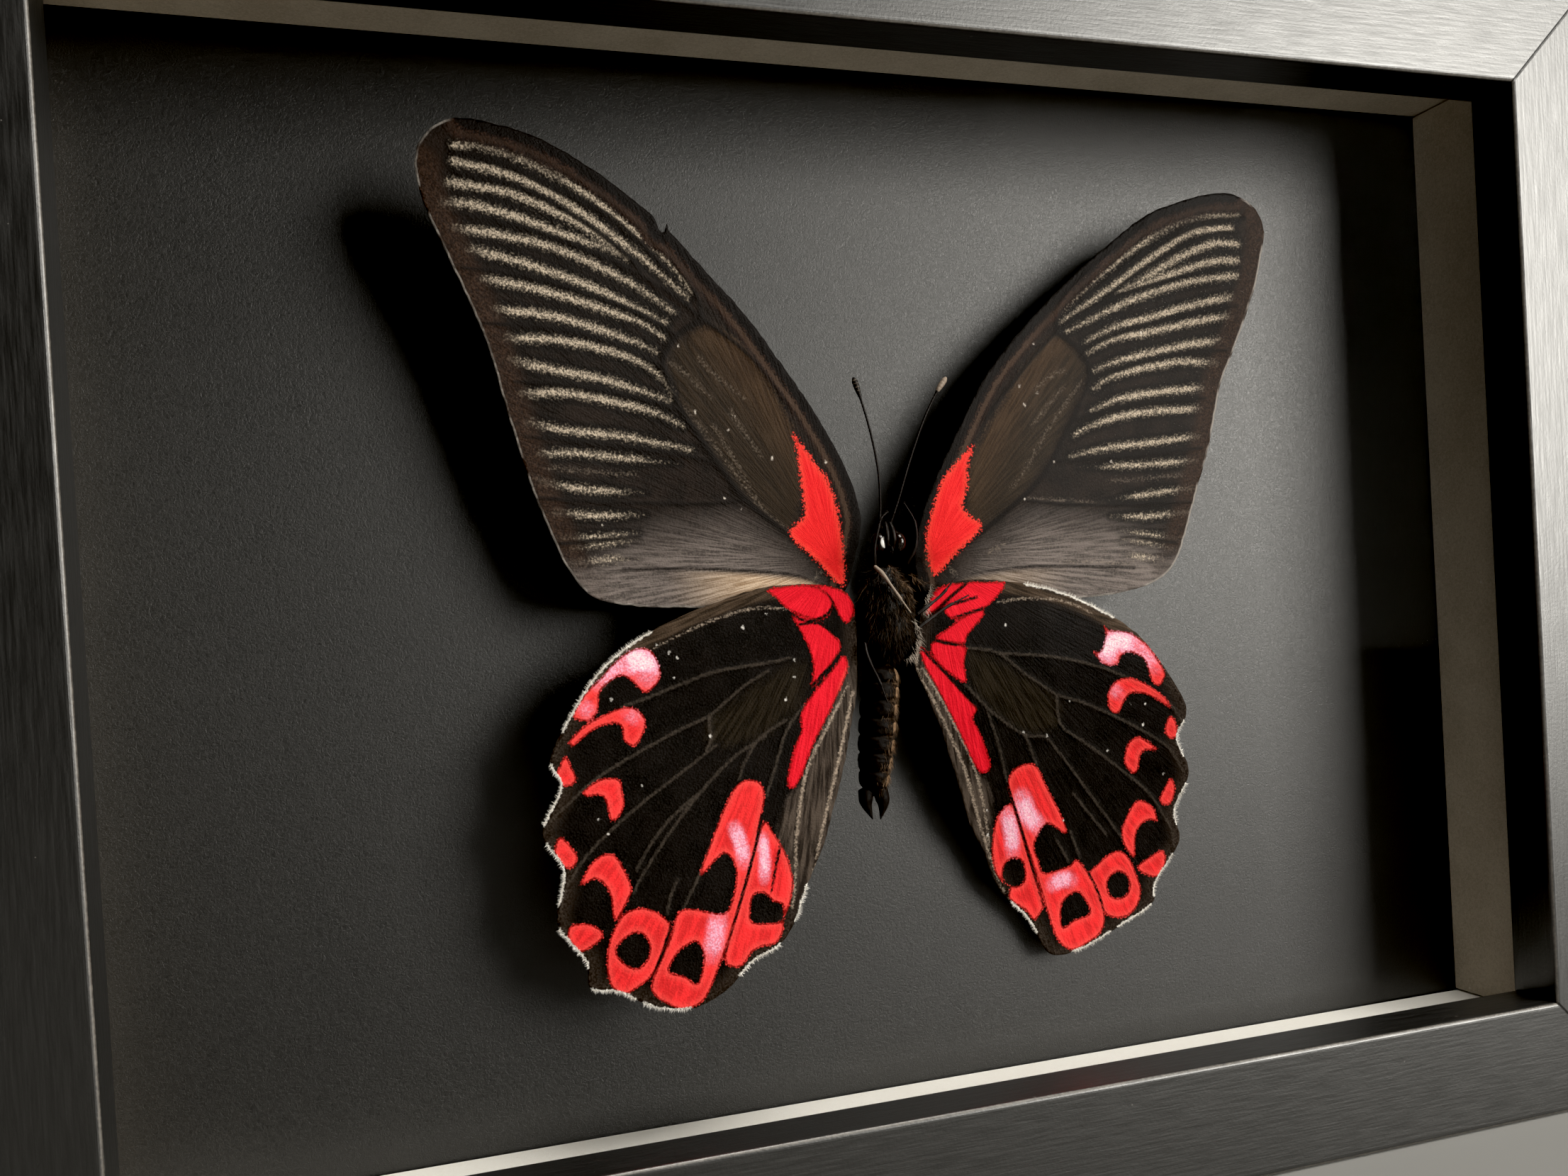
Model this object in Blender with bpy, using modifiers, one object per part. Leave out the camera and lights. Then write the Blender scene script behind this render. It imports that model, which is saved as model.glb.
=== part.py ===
"""A swallowtail butterfly fixed wings-open in a black box frame.

The frame stands on its bottom edge with its face towards -Y.  Sizes are in
millimetres.  A place inside the frame is (across, depth, up): across and up
are measured from the centre of the opening, and depth from the frame's face
towards its back.

Run with: blender --background --python part.py
"""

import math

import bmesh
import bpy
from mathutils import Matrix, Vector

MM = 0.001
GAP = 0.3
NAME = "framed_butterfly"

# The moulding: four mitred lengths of one rabbeted profile.
OPENING_WIDTH = 170.0
OPENING_HEIGHT = 119.4
FACE_WIDTH = 14.6
FRAME_DEPTH = 30.0
LIP_DEPTH = 6.8
RABBET = 5.5
INNER_CHAMFER = 0.35
OUTER_CHAMFER = 0.5
MITRE_GAP = 0.22

# The stack inside the rabbet, from the glass to the back.
GLASS_THICKNESS = 1.2
SPACER_THICKNESS = 1.3
BOARD_FRONT = 21.15
BOARD_THICKNESS = 1.5
PANEL_THICKNESS = 2.5
PANEL_EDGE = 0.3
SHEET_CLEARANCE = 0.3
GLASS_FRONT = LIP_DEPTH + GAP
SPACER_FRONT = GLASS_FRONT + GLASS_THICKNESS + GAP
SPACER_BACK = BOARD_FRONT - GAP
PANEL_FRONT = BOARD_FRONT + BOARD_THICKNESS + GAP
FITTING_FRONT = PANEL_FRONT + PANEL_THICKNESS + GAP

# What holds the back panel in, and the hanger on it.
POINT_LENGTH = 9.0
POINT_WIDTH = 6.0
POINT_THICKNESS = 0.5
POINT_LIFT = 1.4
POINT_FLAT = 0.55
POINT_TAPER = 0.35
HANGER_LENGTH = 44.0
HANGER_HEIGHT = 8.0
HANGER_THICKNESS = 0.8
HANGER_TEETH = 9
HANGER_TOOTH_DEPTH = 1.6
HANGER_UP = 46.0
HANGER_SHOULDER = 4.0
RIVET_HOLE_RADIUS = 1.2
RIVET_RADIUS = 0.8
RIVET_HEAD_RADIUS = 2.0
RIVET_HEAD_HEIGHT = 0.7
RIVET_OFFSET = 18.5

# The insect.
WING_THICKNESS = 0.35
WING_CELL = 7.0
FORE_ROOT_DEPTH = 12.45
FORE_RISE = 3.1
FORE_RISE_START = 18.0
FORE_RISE_END = 62.0
HIND_ROOT_DEPTH = 11.75
HIND_RISE = 1.5
HIND_RISE_END = 50.0
# The right wings settle back towards the board, spreading outwards as they do.
FORE_SETTLE = 4.0
FORE_SETTLE_START = 10.0
FORE_SETTLE_END = 50.0
HIND_SETTLE = 8.5
HIND_SETTLE_START = 4.0
HIND_SETTLE_END = 48.0
SPREAD_ACROSS = -59.8
SPREAD_UP = -6.0
SPREAD_DISTANCE = 131.4
BODY_DEPTH = 11.9
THORAX_CENTRE = (-1.2, -4.1)
THORAX_HALF = (3.3, 2.7, 5.7)
HEAD_CENTRE = (-0.8, 3.9)
HEAD_HALF = (1.35, 1.7, 1.75)
EYE_HALF = (0.65, 1.15, 1.25)
EYE_OFFSET = 2.35
CLASPER_RADII = (0.75, 0.6, 0.12)
PIN_RADIUS = 0.25
ANTENNA_RADIUS = 0.2
LEG_RADIUS = 0.22

# Each wing: which side it is on, where its root is, and its outline.
FORE_LEFT_ROOT = (-7.0, 2.0)
FORE_LEFT_OUTLINE = (
    (-46.5, 50.0), (-49.8, 49.0), (-51.8, 46.2), (-51.7, 42.5), (-50.4, 38.5),
    (-48.0, 32.8), (-45.8, 27.2), (-44.7, 23.0), (-43.4, 17.6), (-41.8, 11.7),
    (-40.0, 6.6), (-38.2, 2.4), (-35.5, -0.8), (-30.6, -2.0), (-25.3, -2.4),
    (-15.0, -3.0), (-8.5, -2.8), (-5.8, -1.2), (-4.6, 1.8), (-3.6, 5.3),
    (-3.5, 8.0), (-5.0, 13.1), (-8.3, 19.4), (-12.5, 25.5), (-16.4, 30.6),
    (-21.0, 35.4), (-27.0, 41.0), (-33.1, 45.4), (-39.5, 48.6),
)
FORE_RIGHT_ROOT = (5.0, 2.0)
FORE_RIGHT_OUTLINE = (
    (53.0, 42.3), (51.7, 45.1), (48.4, 46.6), (44.3, 46.3), (40.3, 45.2),
    (35.9, 43.5), (30.6, 39.8), (25.3, 35.6), (19.6, 30.3), (14.1, 24.2),
    (9.9, 17.5), (6.1, 10.8), (4.2, 6.4), (3.2, 2.0), (3.8, -1.5),
    (7.0, -3.2), (15.0, -3.7), (26.5, -3.6), (31.1, -3.2), (35.9, -2.0),
    (38.8, 0.4), (40.7, 4.9), (42.3, 9.9), (43.6, 13.6), (44.9, 18.4),
    (45.9, 22.5), (47.6, 26.3), (49.3, 30.3), (51.3, 35.2), (52.7, 40.0),
)
HIND_LEFT_ROOT = (-7.0, 2.0)
HIND_LEFT_OUTLINE = (
    (-5.1, -4.8), (-5.8, -1.9), (-8.0, -0.7), (-12.8, -0.4), (-16.7, -0.7),
    (-21.1, -1.8), (-25.3, -3.1), (-29.6, -4.9), (-33.1, -6.9), (-36.4, -9.8),
    (-39.5, -14.2), (-41.6, -18.3), (-40.6, -21.2), (-42.9, -26.0),
    (-40.9, -30.2), (-41.9, -35.8), (-39.1, -40.2), (-38.7, -43.3),
    (-35.6, -44.1), (-31.8, -46.3), (-27.5, -47.0), (-23.7, -45.6),
    (-20.2, -42.7), (-17.2, -41.4), (-14.9, -38.8), (-13.2, -34.9),
    (-11.0, -30.7), (-9.4, -26.4), (-7.8, -21.7), (-6.5, -16.9), (-5.5, -12.5),
)
HIND_RIGHT_ROOT = (5.0, 2.0)
HIND_RIGHT_OUTLINE = (
    (2.4, -8.2), (3.4, -4.0), (5.4, -1.5), (9.5, -0.8), (14.3, -1.1),
    (20.8, -2.5), (26.9, -5.1), (32.2, -8.6), (36.0, -13.4), (38.5, -18.4),
    (36.9, -22.0), (38.3, -26.4), (35.9, -31.0), (36.2, -34.9),
    (32.5, -39.6), (31.8, -42.2), (27.4, -44.3), (21.2, -46.7), (17.1, -46.6),
    (14.7, -42.4), (10.8, -37.9), (9.4, -33.7), (7.7, -29.9), (6.7, -25.4),
    (4.8, -18.5), (3.1, -13.7), (2.0, -10.8),
)

# The abdomen's rings, from the thorax to the tip: across, up, half-width.
ABDOMEN_RINGS = (
    (-2.1, -10.3, 1.2), (-2.2, -11.2, 2.0), (-2.5, -13.2, 2.25), (-2.8, -15.6, 2.2),
    (-3.1, -18.0, 2.2), (-3.4, -20.4, 2.1), (-3.7, -22.6, 1.9), (-3.9, -24.4, 1.6),
    (-4.0, -25.2, 0.9),
)
CLASPER_TIPS = ((-4.4, -28.2), (-3.5, -28.3))
CLASPER_ROOTS = ((-5.0, -25.8), (-3.0, -25.9))

# Thin limbs, as (across, depth, up) points chosen by hand.
ANTENNA_LEFT = (
    (-1.5, 11.4, 6.1), (-1.4, 11.0, 9.0), (-1.5, 10.9, 12.5), (-2.1, 10.9, 16.5),
    (-3.0, 10.9, 20.2), (-3.9, 11.0, 23.3),
)
ANTENNA_RIGHT = (
    (-0.2, 11.4, 6.1), (0.9, 11.0, 9.0), (2.6, 10.9, 13.6), (4.6, 10.9, 18.2),
    (6.4, 10.9, 21.4), (7.9, 11.0, 23.4),
)
CLUB_RADIUS = 0.4
CLUB_LENGTH = 2.6
LEGS = {
    "leg_fore_left": ((-2.9, 10.2, 1.2), (-3.0, 9.6, 3.4), (-2.2, 9.4, 6.4), (-1.3, 9.5, 7.4)),
    "leg_fore_right": ((1.2, 10.2, 1.4), (2.2, 9.6, 3.6), (2.1, 9.4, 6.2), (1.0, 9.4, 8.3)),
    "leg_mid_left": ((-3.2, 9.4, 1.2), (-2.4, 8.95, 0.2), (-0.8, 8.82, -2.2), (0.8, 8.95, -4.4)),
    "leg_mid_right": ((2.2, 10.3, -4.6), (3.3, 10.3, -3.9), (5.6, 10.5, -2.4), (7.6, 10.6, -0.4)),
    "leg_hind_left": ((-4.6, 10.4, -7.6), (-4.4, 10.2, -9.2), (-3.4, 9.4, -12.2), (-2.6, 9.3, -14.6)),
    "leg_hind_right": ((2.0, 10.3, -6.4), (3.6, 10.4, -5.4), (6.2, 10.5, -3.9), (9.0, 10.6, -2.7)),
}

# Colours: red, green, blue, then metallic and roughness.
FINISHES = {
    "black_moulding": ((0.020, 0.019, 0.018), 0.0, 0.45),
    "clear_glass": ((0.90, 0.94, 0.92), 0.0, 0.03),
    "cream_spacer": ((0.62, 0.58, 0.50), 0.0, 0.85),
    "black_board": ((0.025, 0.025, 0.024), 0.0, 0.90),
    "back_panel": ((0.22, 0.15, 0.09), 0.0, 0.80),
    "bright_steel": ((0.60, 0.60, 0.60), 1.0, 0.35),
    "wing_membrane": ((0.045, 0.020, 0.015), 0.0, 0.70),
    "insect_body": ((0.012, 0.010, 0.009), 0.0, 0.60),
}


def clear_scene():
    """Remove every object the file opened with."""
    for obj in list(bpy.data.objects):
        bpy.data.objects.remove(obj, do_unlink=True)


def new_collection(name):
    """Return a new collection linked to the scene."""
    collection = bpy.data.collections.new(name)
    bpy.context.scene.collection.children.link(collection)
    return collection


def make_finishes():
    """Return one Principled material for each named finish."""
    materials = {}
    for name, (colour, metallic, roughness) in FINISHES.items():
        material = bpy.data.materials.new(name)
        material.use_nodes = True
        shader = material.node_tree.nodes["Principled BSDF"]
        shader.inputs["Base Color"].default_value = (*colour, 1.0)
        shader.inputs["Metallic"].default_value = metallic
        shader.inputs["Roughness"].default_value = roughness
        materials[name] = material
    return materials


def place(across, depth, up):
    """Turn a place inside the frame into a world position in metres."""
    base = OPENING_HEIGHT / 2 + FACE_WIDTH
    return Vector((across, depth - FRAME_DEPTH / 2, base + up)) * MM


class Workshop:
    """Makes named objects in one collection, each with its finish."""

    def __init__(self):
        self.parts = new_collection(NAME)
        self.cutters = new_collection(NAME + "_cutters")
        self.materials = make_finishes()

    def add_mesh(self, name, mesh, finish, location=(0.0, 0.0, 0.0)):
        """Put a mesh in the scene as a finished part."""
        obj = bpy.data.objects.new(name, mesh)
        obj.location = location
        mesh.materials.clear()
        mesh.materials.append(self.materials[finish])
        self.parts.objects.link(obj)
        return obj

    def add_bmesh(self, name, bm, finish, location=(0.0, 0.0, 0.0)):
        """Turn a bmesh, in millimetres, into a finished part."""
        bmesh.ops.scale(bm, vec=(MM, MM, MM), verts=bm.verts)
        bmesh.ops.recalc_face_normals(bm, faces=bm.faces)
        mesh = bpy.data.meshes.new(name)
        bm.to_mesh(mesh)
        bm.free()
        return self.add_mesh(name, mesh, finish, location)

    def bevel(self, obj, width, segments=1):
        """Round an object's edges by a width in millimetres."""
        modifier = obj.modifiers.new("rounded_edges", "BEVEL")
        modifier.width = width * MM
        modifier.segments = segments
        modifier.limit_method = "ANGLE"

    def board(self, name, width, height, front, thickness, finish, centre=(0.0, 0.0), edge=0.0):
        """Make a flat board that faces the front."""
        bm = bmesh.new()
        bmesh.ops.create_cube(bm, size=1.0)
        bmesh.ops.scale(bm, vec=(width, thickness, height), verts=bm.verts)
        spot = place(centre[0], front + thickness / 2, centre[1])
        obj = self.add_bmesh(name, bm, finish, spot)
        if edge:
            self.bevel(obj, edge)
        return obj

    def ellipsoid(self, name, centre, half, finish, segments=20, rings=12):
        """Make an ellipsoid with the given half sizes (across, depth, up)."""
        bm = bmesh.new()
        bmesh.ops.create_uvsphere(bm, u_segments=segments, v_segments=rings, radius=1.0)
        bmesh.ops.scale(bm, vec=half, verts=bm.verts)
        obj = self.add_bmesh(name, bm, finish, place(*centre))
        obj.data.shade_smooth()
        return obj

    def cylinder(self, bm, radius, front, back, sides):
        """Add a capped cylinder along the depth axis to a bmesh."""
        turn = Matrix.Rotation(math.radians(90.0), 4, "X")
        move = Matrix.Translation((0.0, (front + back) / 2, 0.0))
        bmesh.ops.create_cone(bm, cap_ends=True, segments=sides, radius1=radius,
                              radius2=radius, depth=back - front, matrix=move @ turn)

    def wire(self, name, points, radii, finish):
        """Make a thin limb along smooth points, with a radius at each."""
        curve = bpy.data.curves.new(name, "CURVE")
        curve.dimensions = "3D"
        curve.bevel_depth = MM
        curve.bevel_resolution = 1
        curve.use_fill_caps = True
        spline = curve.splines.new("POLY")
        spline.points.add(len(points) - 1)
        for point, spot, radius in zip(spline.points, points, radii):
            point.co = (*place(*spot), 1.0)
            point.radius = radius
        obj = bpy.data.objects.new(name, curve)
        curve.materials.append(self.materials[finish])
        self.parts.objects.link(obj)
        return obj

    def filled_outline(self, name, outline, resolution, half_thickness):
        """Return a closed mesh, in metres, of a smooth outline with thickness.

        The outline's first axis becomes across and its second becomes up.
        """
        curve = bpy.data.curves.new(name, "CURVE")
        curve.dimensions = "2D"
        curve.fill_mode = "BOTH"
        curve.extrude = half_thickness * MM
        curve.resolution_u = resolution
        spline = curve.splines.new("BEZIER")
        spline.use_cyclic_u = True
        spline.bezier_points.add(len(outline) - 1)
        for point, (across, up) in zip(spline.bezier_points, outline):
            point.co = Vector((across, up, 0.0)) * MM
            point.handle_left_type = "AUTO"
            point.handle_right_type = "AUTO"
        guide = bpy.data.objects.new(name + "_guide", curve)
        self.cutters.objects.link(guide)
        bpy.context.view_layer.update()
        graph = bpy.context.evaluated_depsgraph_get()
        mesh = bpy.data.meshes.new_from_object(guide.evaluated_get(graph))
        bpy.data.objects.remove(guide, do_unlink=True)
        mesh.transform(Matrix.Rotation(math.radians(90.0), 4, "X"))
        return mesh


def smooth_path(points, steps):
    """Return points along a Catmull-Rom curve through the given points."""
    padded = [points[0], *points, points[-1]]
    path = []
    for index in range(len(points) - 1):
        before, start, end, after = (Vector(p) for p in padded[index:index + 4])
        for step in range(steps):
            t = step / steps
            path.append(0.5 * (2.0 * start + (end - before) * t
                               + (2.0 * before - 5.0 * start + 4.0 * end - after) * t ** 2
                               + (3.0 * start - before - 3.0 * end + after) * t ** 3))
    path.append(Vector(points[-1]))
    return path


# ---------------------------------------------------------------- the frame


def moulding_profile():
    """Return the moulding's section as (outward, depth) points."""
    return (
        (0.0, INNER_CHAMFER), (INNER_CHAMFER, 0.0), (FACE_WIDTH - OUTER_CHAMFER, 0.0),
        (FACE_WIDTH, OUTER_CHAMFER), (FACE_WIDTH, FRAME_DEPTH), (RABBET, FRAME_DEPTH),
        (RABBET, LIP_DEPTH), (0.0, LIP_DEPTH),
    )


def make_moulding(shop, name, opening, offset, angle):
    """Make one mitred length of the moulding.

    The section is extruded along the length, and each of its ends is then
    sheared outwards by as much as the point lies outward of the opening.
    """
    bm = bmesh.new()
    section = [bm.verts.new((0.0, depth, outward)) for outward, depth in moulding_profile()]
    face = bm.faces.new(section)
    swept = bmesh.ops.extrude_face_region(bm, geom=[face])["geom"]
    far_end = {item for item in swept if isinstance(item, bmesh.types.BMVert)}
    for vert in bm.verts:
        reach = opening / 2 + vert.co.z - MITRE_GAP
        vert.co.x = reach if vert in far_end else -reach
    turn = Matrix.Rotation(math.radians(angle), 4, "Y")
    shift = Matrix.Translation((0.0, -FRAME_DEPTH / 2, offset))
    bmesh.ops.transform(bm, matrix=turn @ shift, verts=bm.verts)
    centre = Vector((0.0, 0.0, OPENING_HEIGHT / 2 + FACE_WIDTH)) * MM
    shop.add_bmesh(name, bm, "black_moulding", centre)


def make_frame(shop):
    """Make the four lengths of moulding."""
    make_moulding(shop, "frame_top", OPENING_WIDTH, OPENING_HEIGHT / 2, 0.0)
    make_moulding(shop, "frame_right", OPENING_HEIGHT, OPENING_WIDTH / 2, 90.0)
    make_moulding(shop, "frame_bottom", OPENING_WIDTH, OPENING_HEIGHT / 2, 180.0)
    make_moulding(shop, "frame_left", OPENING_HEIGHT, OPENING_WIDTH / 2, 270.0)


def make_stack(shop):
    """Make the glass, the spacers, the mat board and the back panel."""
    width = OPENING_WIDTH + 2 * (RABBET - SHEET_CLEARANCE)
    height = OPENING_HEIGHT + 2 * (RABBET - SHEET_CLEARANCE)
    shop.board("glass", width, height, GLASS_FRONT, GLASS_THICKNESS, "clear_glass")
    shop.board("mat_board", width, height, BOARD_FRONT, BOARD_THICKNESS, "black_board")
    shop.board("back_panel", width, height, PANEL_FRONT, PANEL_THICKNESS, "back_panel", edge=PANEL_EDGE)
    depth = SPACER_BACK - SPACER_FRONT
    up = (height - SPACER_THICKNESS) / 2
    across = (width - SPACER_THICKNESS) / 2
    side = height - 2 * (SPACER_THICKNESS + GAP)
    for name, sign in (("spacer_top", 1.0), ("spacer_bottom", -1.0)):
        shop.board(name, width, SPACER_THICKNESS, SPACER_FRONT, depth, "cream_spacer", (0.0, sign * up))
    for name, sign in (("spacer_right", 1.0), ("spacer_left", -1.0)):
        shop.board(name, SPACER_THICKNESS, side, SPACER_FRONT, depth, "cream_spacer", (sign * across, 0.0))


def make_point(shop, name, across, up, angle):
    """Make one flexible point: a thin tongue bent up at its free end."""
    front = FITTING_FRONT
    outline = (
        (0.0, front), (POINT_LENGTH * POINT_FLAT, front), (POINT_LENGTH, front + POINT_LIFT),
        (POINT_LENGTH, front + POINT_LIFT + POINT_THICKNESS),
        (POINT_LENGTH * POINT_FLAT, front + POINT_THICKNESS), (0.0, front + POINT_THICKNESS),
    )
    bm = bmesh.new()
    section = [bm.verts.new((-POINT_WIDTH / 2, depth - FRAME_DEPTH / 2, -inward))
               for inward, depth in outline]
    face = bm.faces.new(section)
    swept = bmesh.ops.extrude_face_region(bm, geom=[face])["geom"]
    far_end = [item for item in swept if isinstance(item, bmesh.types.BMVert)]
    bmesh.ops.translate(bm, vec=(POINT_WIDTH, 0.0, 0.0), verts=far_end)
    for vert in bm.verts:
        taper = 1.0 - POINT_TAPER * (-vert.co.z / POINT_LENGTH)
        vert.co.x *= taper
    turn = Matrix.Rotation(math.radians(angle), 4, "Y")
    bmesh.ops.transform(bm, matrix=turn, verts=bm.verts)
    spot = place(across, FRAME_DEPTH / 2, up)
    shop.add_bmesh(name, bm, "bright_steel", spot)


def make_points(shop):
    """Make the six flexible points, two to a long side and one to a short one."""
    up = OPENING_HEIGHT / 2 + RABBET - GAP
    across = OPENING_WIDTH / 2 + RABBET - GAP
    third = OPENING_WIDTH / 4
    spots = (
        (-third, up, 0.0), (third, up, 0.0), (across, 0.0, 90.0),
        (third, -up, 180.0), (-third, -up, 180.0), (-across, 0.0, 270.0),
    )
    for index, (x, z, angle) in enumerate(spots, start=1):
        make_point(shop, f"flex_point_{index}", x, z, angle)


def hanger_outline():
    """Return the sawtooth hanger's outline as (across, up) points."""
    half = HANGER_LENGTH / 2
    tab = half - RIVET_OFFSET + RIVET_HEAD_RADIUS
    toothed = HANGER_LENGTH - 2 * (half - RIVET_OFFSET + HANGER_SHOULDER)
    pitch = toothed / HANGER_TEETH
    points = [(-half, tab), (-half, -tab), (-toothed / 2, -tab)]
    for tooth in range(HANGER_TEETH):
        left = -toothed / 2 + tooth * pitch
        points.append((left + pitch / 2, -tab + HANGER_TOOTH_DEPTH))
        points.append((left + pitch, -tab))
    shoulder = half - HANGER_SHOULDER
    top = HANGER_HEIGHT - tab
    points += [(half, -tab), (half, tab), (shoulder, top), (-shoulder, top)]
    return points


def make_hanger(shop):
    """Make the sawtooth hanger and the two rivets that hold it."""
    bm = bmesh.new()
    section = [bm.verts.new((across, 0.0, up)) for across, up in hanger_outline()]
    face = bm.faces.new(section)
    swept = bmesh.ops.extrude_face_region(bm, geom=[face])["geom"]
    back = [item for item in swept if isinstance(item, bmesh.types.BMVert)]
    bmesh.ops.translate(bm, vec=(0.0, HANGER_THICKNESS, 0.0), verts=back)
    hanger = shop.add_bmesh("hanger", bm, "bright_steel", place(0.0, FITTING_FRONT, HANGER_UP))
    for side, sign in (("left", -1.0), ("right", 1.0)):
        across = sign * RIVET_OFFSET
        hole = bmesh.new()
        shop.cylinder(hole, RIVET_HOLE_RADIUS, -1.0, HANGER_THICKNESS + 1.0, 20)
        cutter = shop.add_bmesh(f"hole_{side}", hole, "bright_steel",
                                place(across, FITTING_FRONT, HANGER_UP))
        shop.parts.objects.unlink(cutter)
        shop.cutters.objects.link(cutter)
        cutter.hide_render = True
        cutter.display_type = "WIRE"
        cut = hanger.modifiers.new(f"cut_{side}", "BOOLEAN")
        cut.operation = "DIFFERENCE"
        cut.object = cutter
        make_rivet(shop, f"rivet_{side}", across)


def make_rivet(shop, name, across):
    """Make a rivet as one turned profile: its shank, then its domed head."""
    shank = HANGER_THICKNESS + GAP
    profile = [
        (0.0, shank + RIVET_HEAD_HEIGHT), (RIVET_HEAD_RADIUS * 0.6, shank + RIVET_HEAD_HEIGHT * 0.85),
        (RIVET_HEAD_RADIUS * 0.9, shank + RIVET_HEAD_HEIGHT * 0.5), (RIVET_HEAD_RADIUS, shank),
        (RIVET_RADIUS, shank), (RIVET_RADIUS, 0.0), (0.0, 0.0),
    ]
    mesh = bpy.data.meshes.new(name)
    bm = bmesh.new()
    verts = [bm.verts.new(Vector((radius, 0.0, height)) * MM) for radius, height in profile]
    for start, end in zip(verts, verts[1:]):
        bm.edges.new((start, end))
    bm.to_mesh(mesh)
    bm.free()
    obj = shop.add_mesh(name, mesh, "bright_steel", place(across, FITTING_FRONT, HANGER_UP))
    obj.rotation_euler = (math.radians(-90.0), 0.0, 0.0)
    screw = obj.modifiers.new("turned", "SCREW")
    screw.steps = 16
    screw.render_steps = 16
    screw.use_merge_vertices = True
    screw.merge_threshold = 0.00001


# ---------------------------------------------------------------- the insect


def smoothstep(value):
    """Ease a value from 0 to 1."""
    value = min(1.0, max(0.0, value))
    return value * value * (3.0 - 2.0 * value)


def fore_depth(across, up, root):
    """Return the depth of a forewing, which rises towards its tip."""
    reach = math.hypot(across - root[0], up - root[1])
    rise = smoothstep((reach - FORE_RISE_START) / (FORE_RISE_END - FORE_RISE_START))
    return FORE_ROOT_DEPTH - FORE_RISE * rise


def hind_depth(across, up, root):
    """Return the depth of a hindwing, which lies in front of the forewing."""
    reach = math.hypot(across - root[0], up - root[1])
    return HIND_ROOT_DEPTH - HIND_RISE * min(1.0, reach / HIND_RISE_END)


def no_settle(_across, _up, _root):
    """Return how far back a wing settles that keeps its even rise."""
    return 0.0


def fore_settle(across, up, root):
    """Return how far back the right forewing has settled."""
    reach = math.hypot(across - root[0], up - root[1])
    return FORE_SETTLE * smoothstep((reach - FORE_SETTLE_START) / (FORE_SETTLE_END - FORE_SETTLE_START))


def hind_settle(_across, up, _root):
    """Return how far back the right hindwing has settled."""
    return HIND_SETTLE * smoothstep((-up - HIND_SETTLE_START) / (HIND_SETTLE_END - HIND_SETTLE_START))


def settled(across, depth, up, settle):
    """Move a place back and spread it outwards to match."""
    spread = 1.0 + settle / (depth + SPREAD_DISTANCE)
    return (SPREAD_ACROSS + (across - SPREAD_ACROSS) * spread, depth + settle,
            SPREAD_UP + (up - SPREAD_UP) * spread)


def make_wing(shop, name, outline, root, depth_at, settle_at):
    """Make a wing: a thin filled outline, cut into cells and curved to depth."""
    mesh = shop.filled_outline(name, outline, 3, WING_THICKNESS / 2)
    bm = bmesh.new()
    bm.from_mesh(mesh)
    bpy.data.meshes.remove(mesh)
    bmesh.ops.scale(bm, vec=(1.0 / MM,) * 3, verts=bm.verts)
    bmesh.ops.remove_doubles(bm, verts=bm.verts, dist=0.01)
    bmesh.ops.triangulate(bm, faces=bm.faces)
    for axis in (Vector((1.0, 0.0, 0.0)), Vector((0.0, 0.0, 1.0))):
        reaches = [vert.co.dot(axis) for vert in bm.verts]
        cut = (math.floor(min(reaches) / WING_CELL) + 1) * WING_CELL
        while cut < max(reaches):
            bmesh.ops.bisect_plane(bm, geom=bm.verts[:] + bm.edges[:] + bm.faces[:],
                                   dist=0.001, plane_co=axis * cut, plane_no=axis)
            cut += WING_CELL
    for vert in bm.verts:
        across, through, up = vert.co
        depth = depth_at(across, up, root)
        vert.co = settled(across, depth, up, settle_at(across, up, root))
        vert.co.y += through + WING_THICKNESS / 2
    obj = shop.add_bmesh(name, bm, "wing_membrane", place(0.0, 0.0, 0.0))
    return obj


def make_wings(shop):
    """Make the four wings."""
    make_wing(shop, "forewing_left", FORE_LEFT_OUTLINE, FORE_LEFT_ROOT, fore_depth, no_settle)
    make_wing(shop, "forewing_right", FORE_RIGHT_OUTLINE, FORE_RIGHT_ROOT, fore_depth, fore_settle)
    make_wing(shop, "hindwing_left", HIND_LEFT_OUTLINE, HIND_LEFT_ROOT, hind_depth, no_settle)
    make_wing(shop, "hindwing_right", HIND_RIGHT_OUTLINE, HIND_RIGHT_ROOT, hind_depth, hind_settle)


def make_abdomen(shop):
    """Make the abdomen: a curve through the rings, thick as each ring is."""
    points = [(across, BODY_DEPTH + 0.1, up) for across, up, _half in ABDOMEN_RINGS]
    radii = [half for _across, _up, half in ABDOMEN_RINGS]
    abdomen = shop.wire("abdomen", points, radii, "insect_body")
    abdomen.data.bevel_resolution = 4


def make_claspers(shop):
    """Make the two pointed claspers at the abdomen's tip."""
    sides = ("clasper_left", "clasper_right")
    for name, root, tip in zip(sides, CLASPER_ROOTS, CLASPER_TIPS):
        middle = ((root[0] + tip[0]) / 2 + 0.1 * (1 if root[0] < tip[0] else -1), (root[1] + tip[1]) / 2)
        points = [(spot[0], BODY_DEPTH, spot[1]) for spot in (root, middle, tip)]
        shop.wire(name, points, CLASPER_RADII, "insect_body")


def make_body(shop):
    """Make the head, eyes, thorax, abdomen and claspers."""
    across, up = THORAX_CENTRE
    shop.ellipsoid("thorax", (across, BODY_DEPTH, up), THORAX_HALF, "insect_body")
    across, up = HEAD_CENTRE
    shop.ellipsoid("head", (across, BODY_DEPTH, up), HEAD_HALF, "insect_body", 16, 10)
    for name, sign in (("eye_left", -1.0), ("eye_right", 1.0)):
        spot = (across + sign * EYE_OFFSET, BODY_DEPTH, up)
        shop.ellipsoid(name, spot, EYE_HALF, "insect_body", 12, 8)
    make_abdomen(shop)
    make_claspers(shop)


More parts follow.
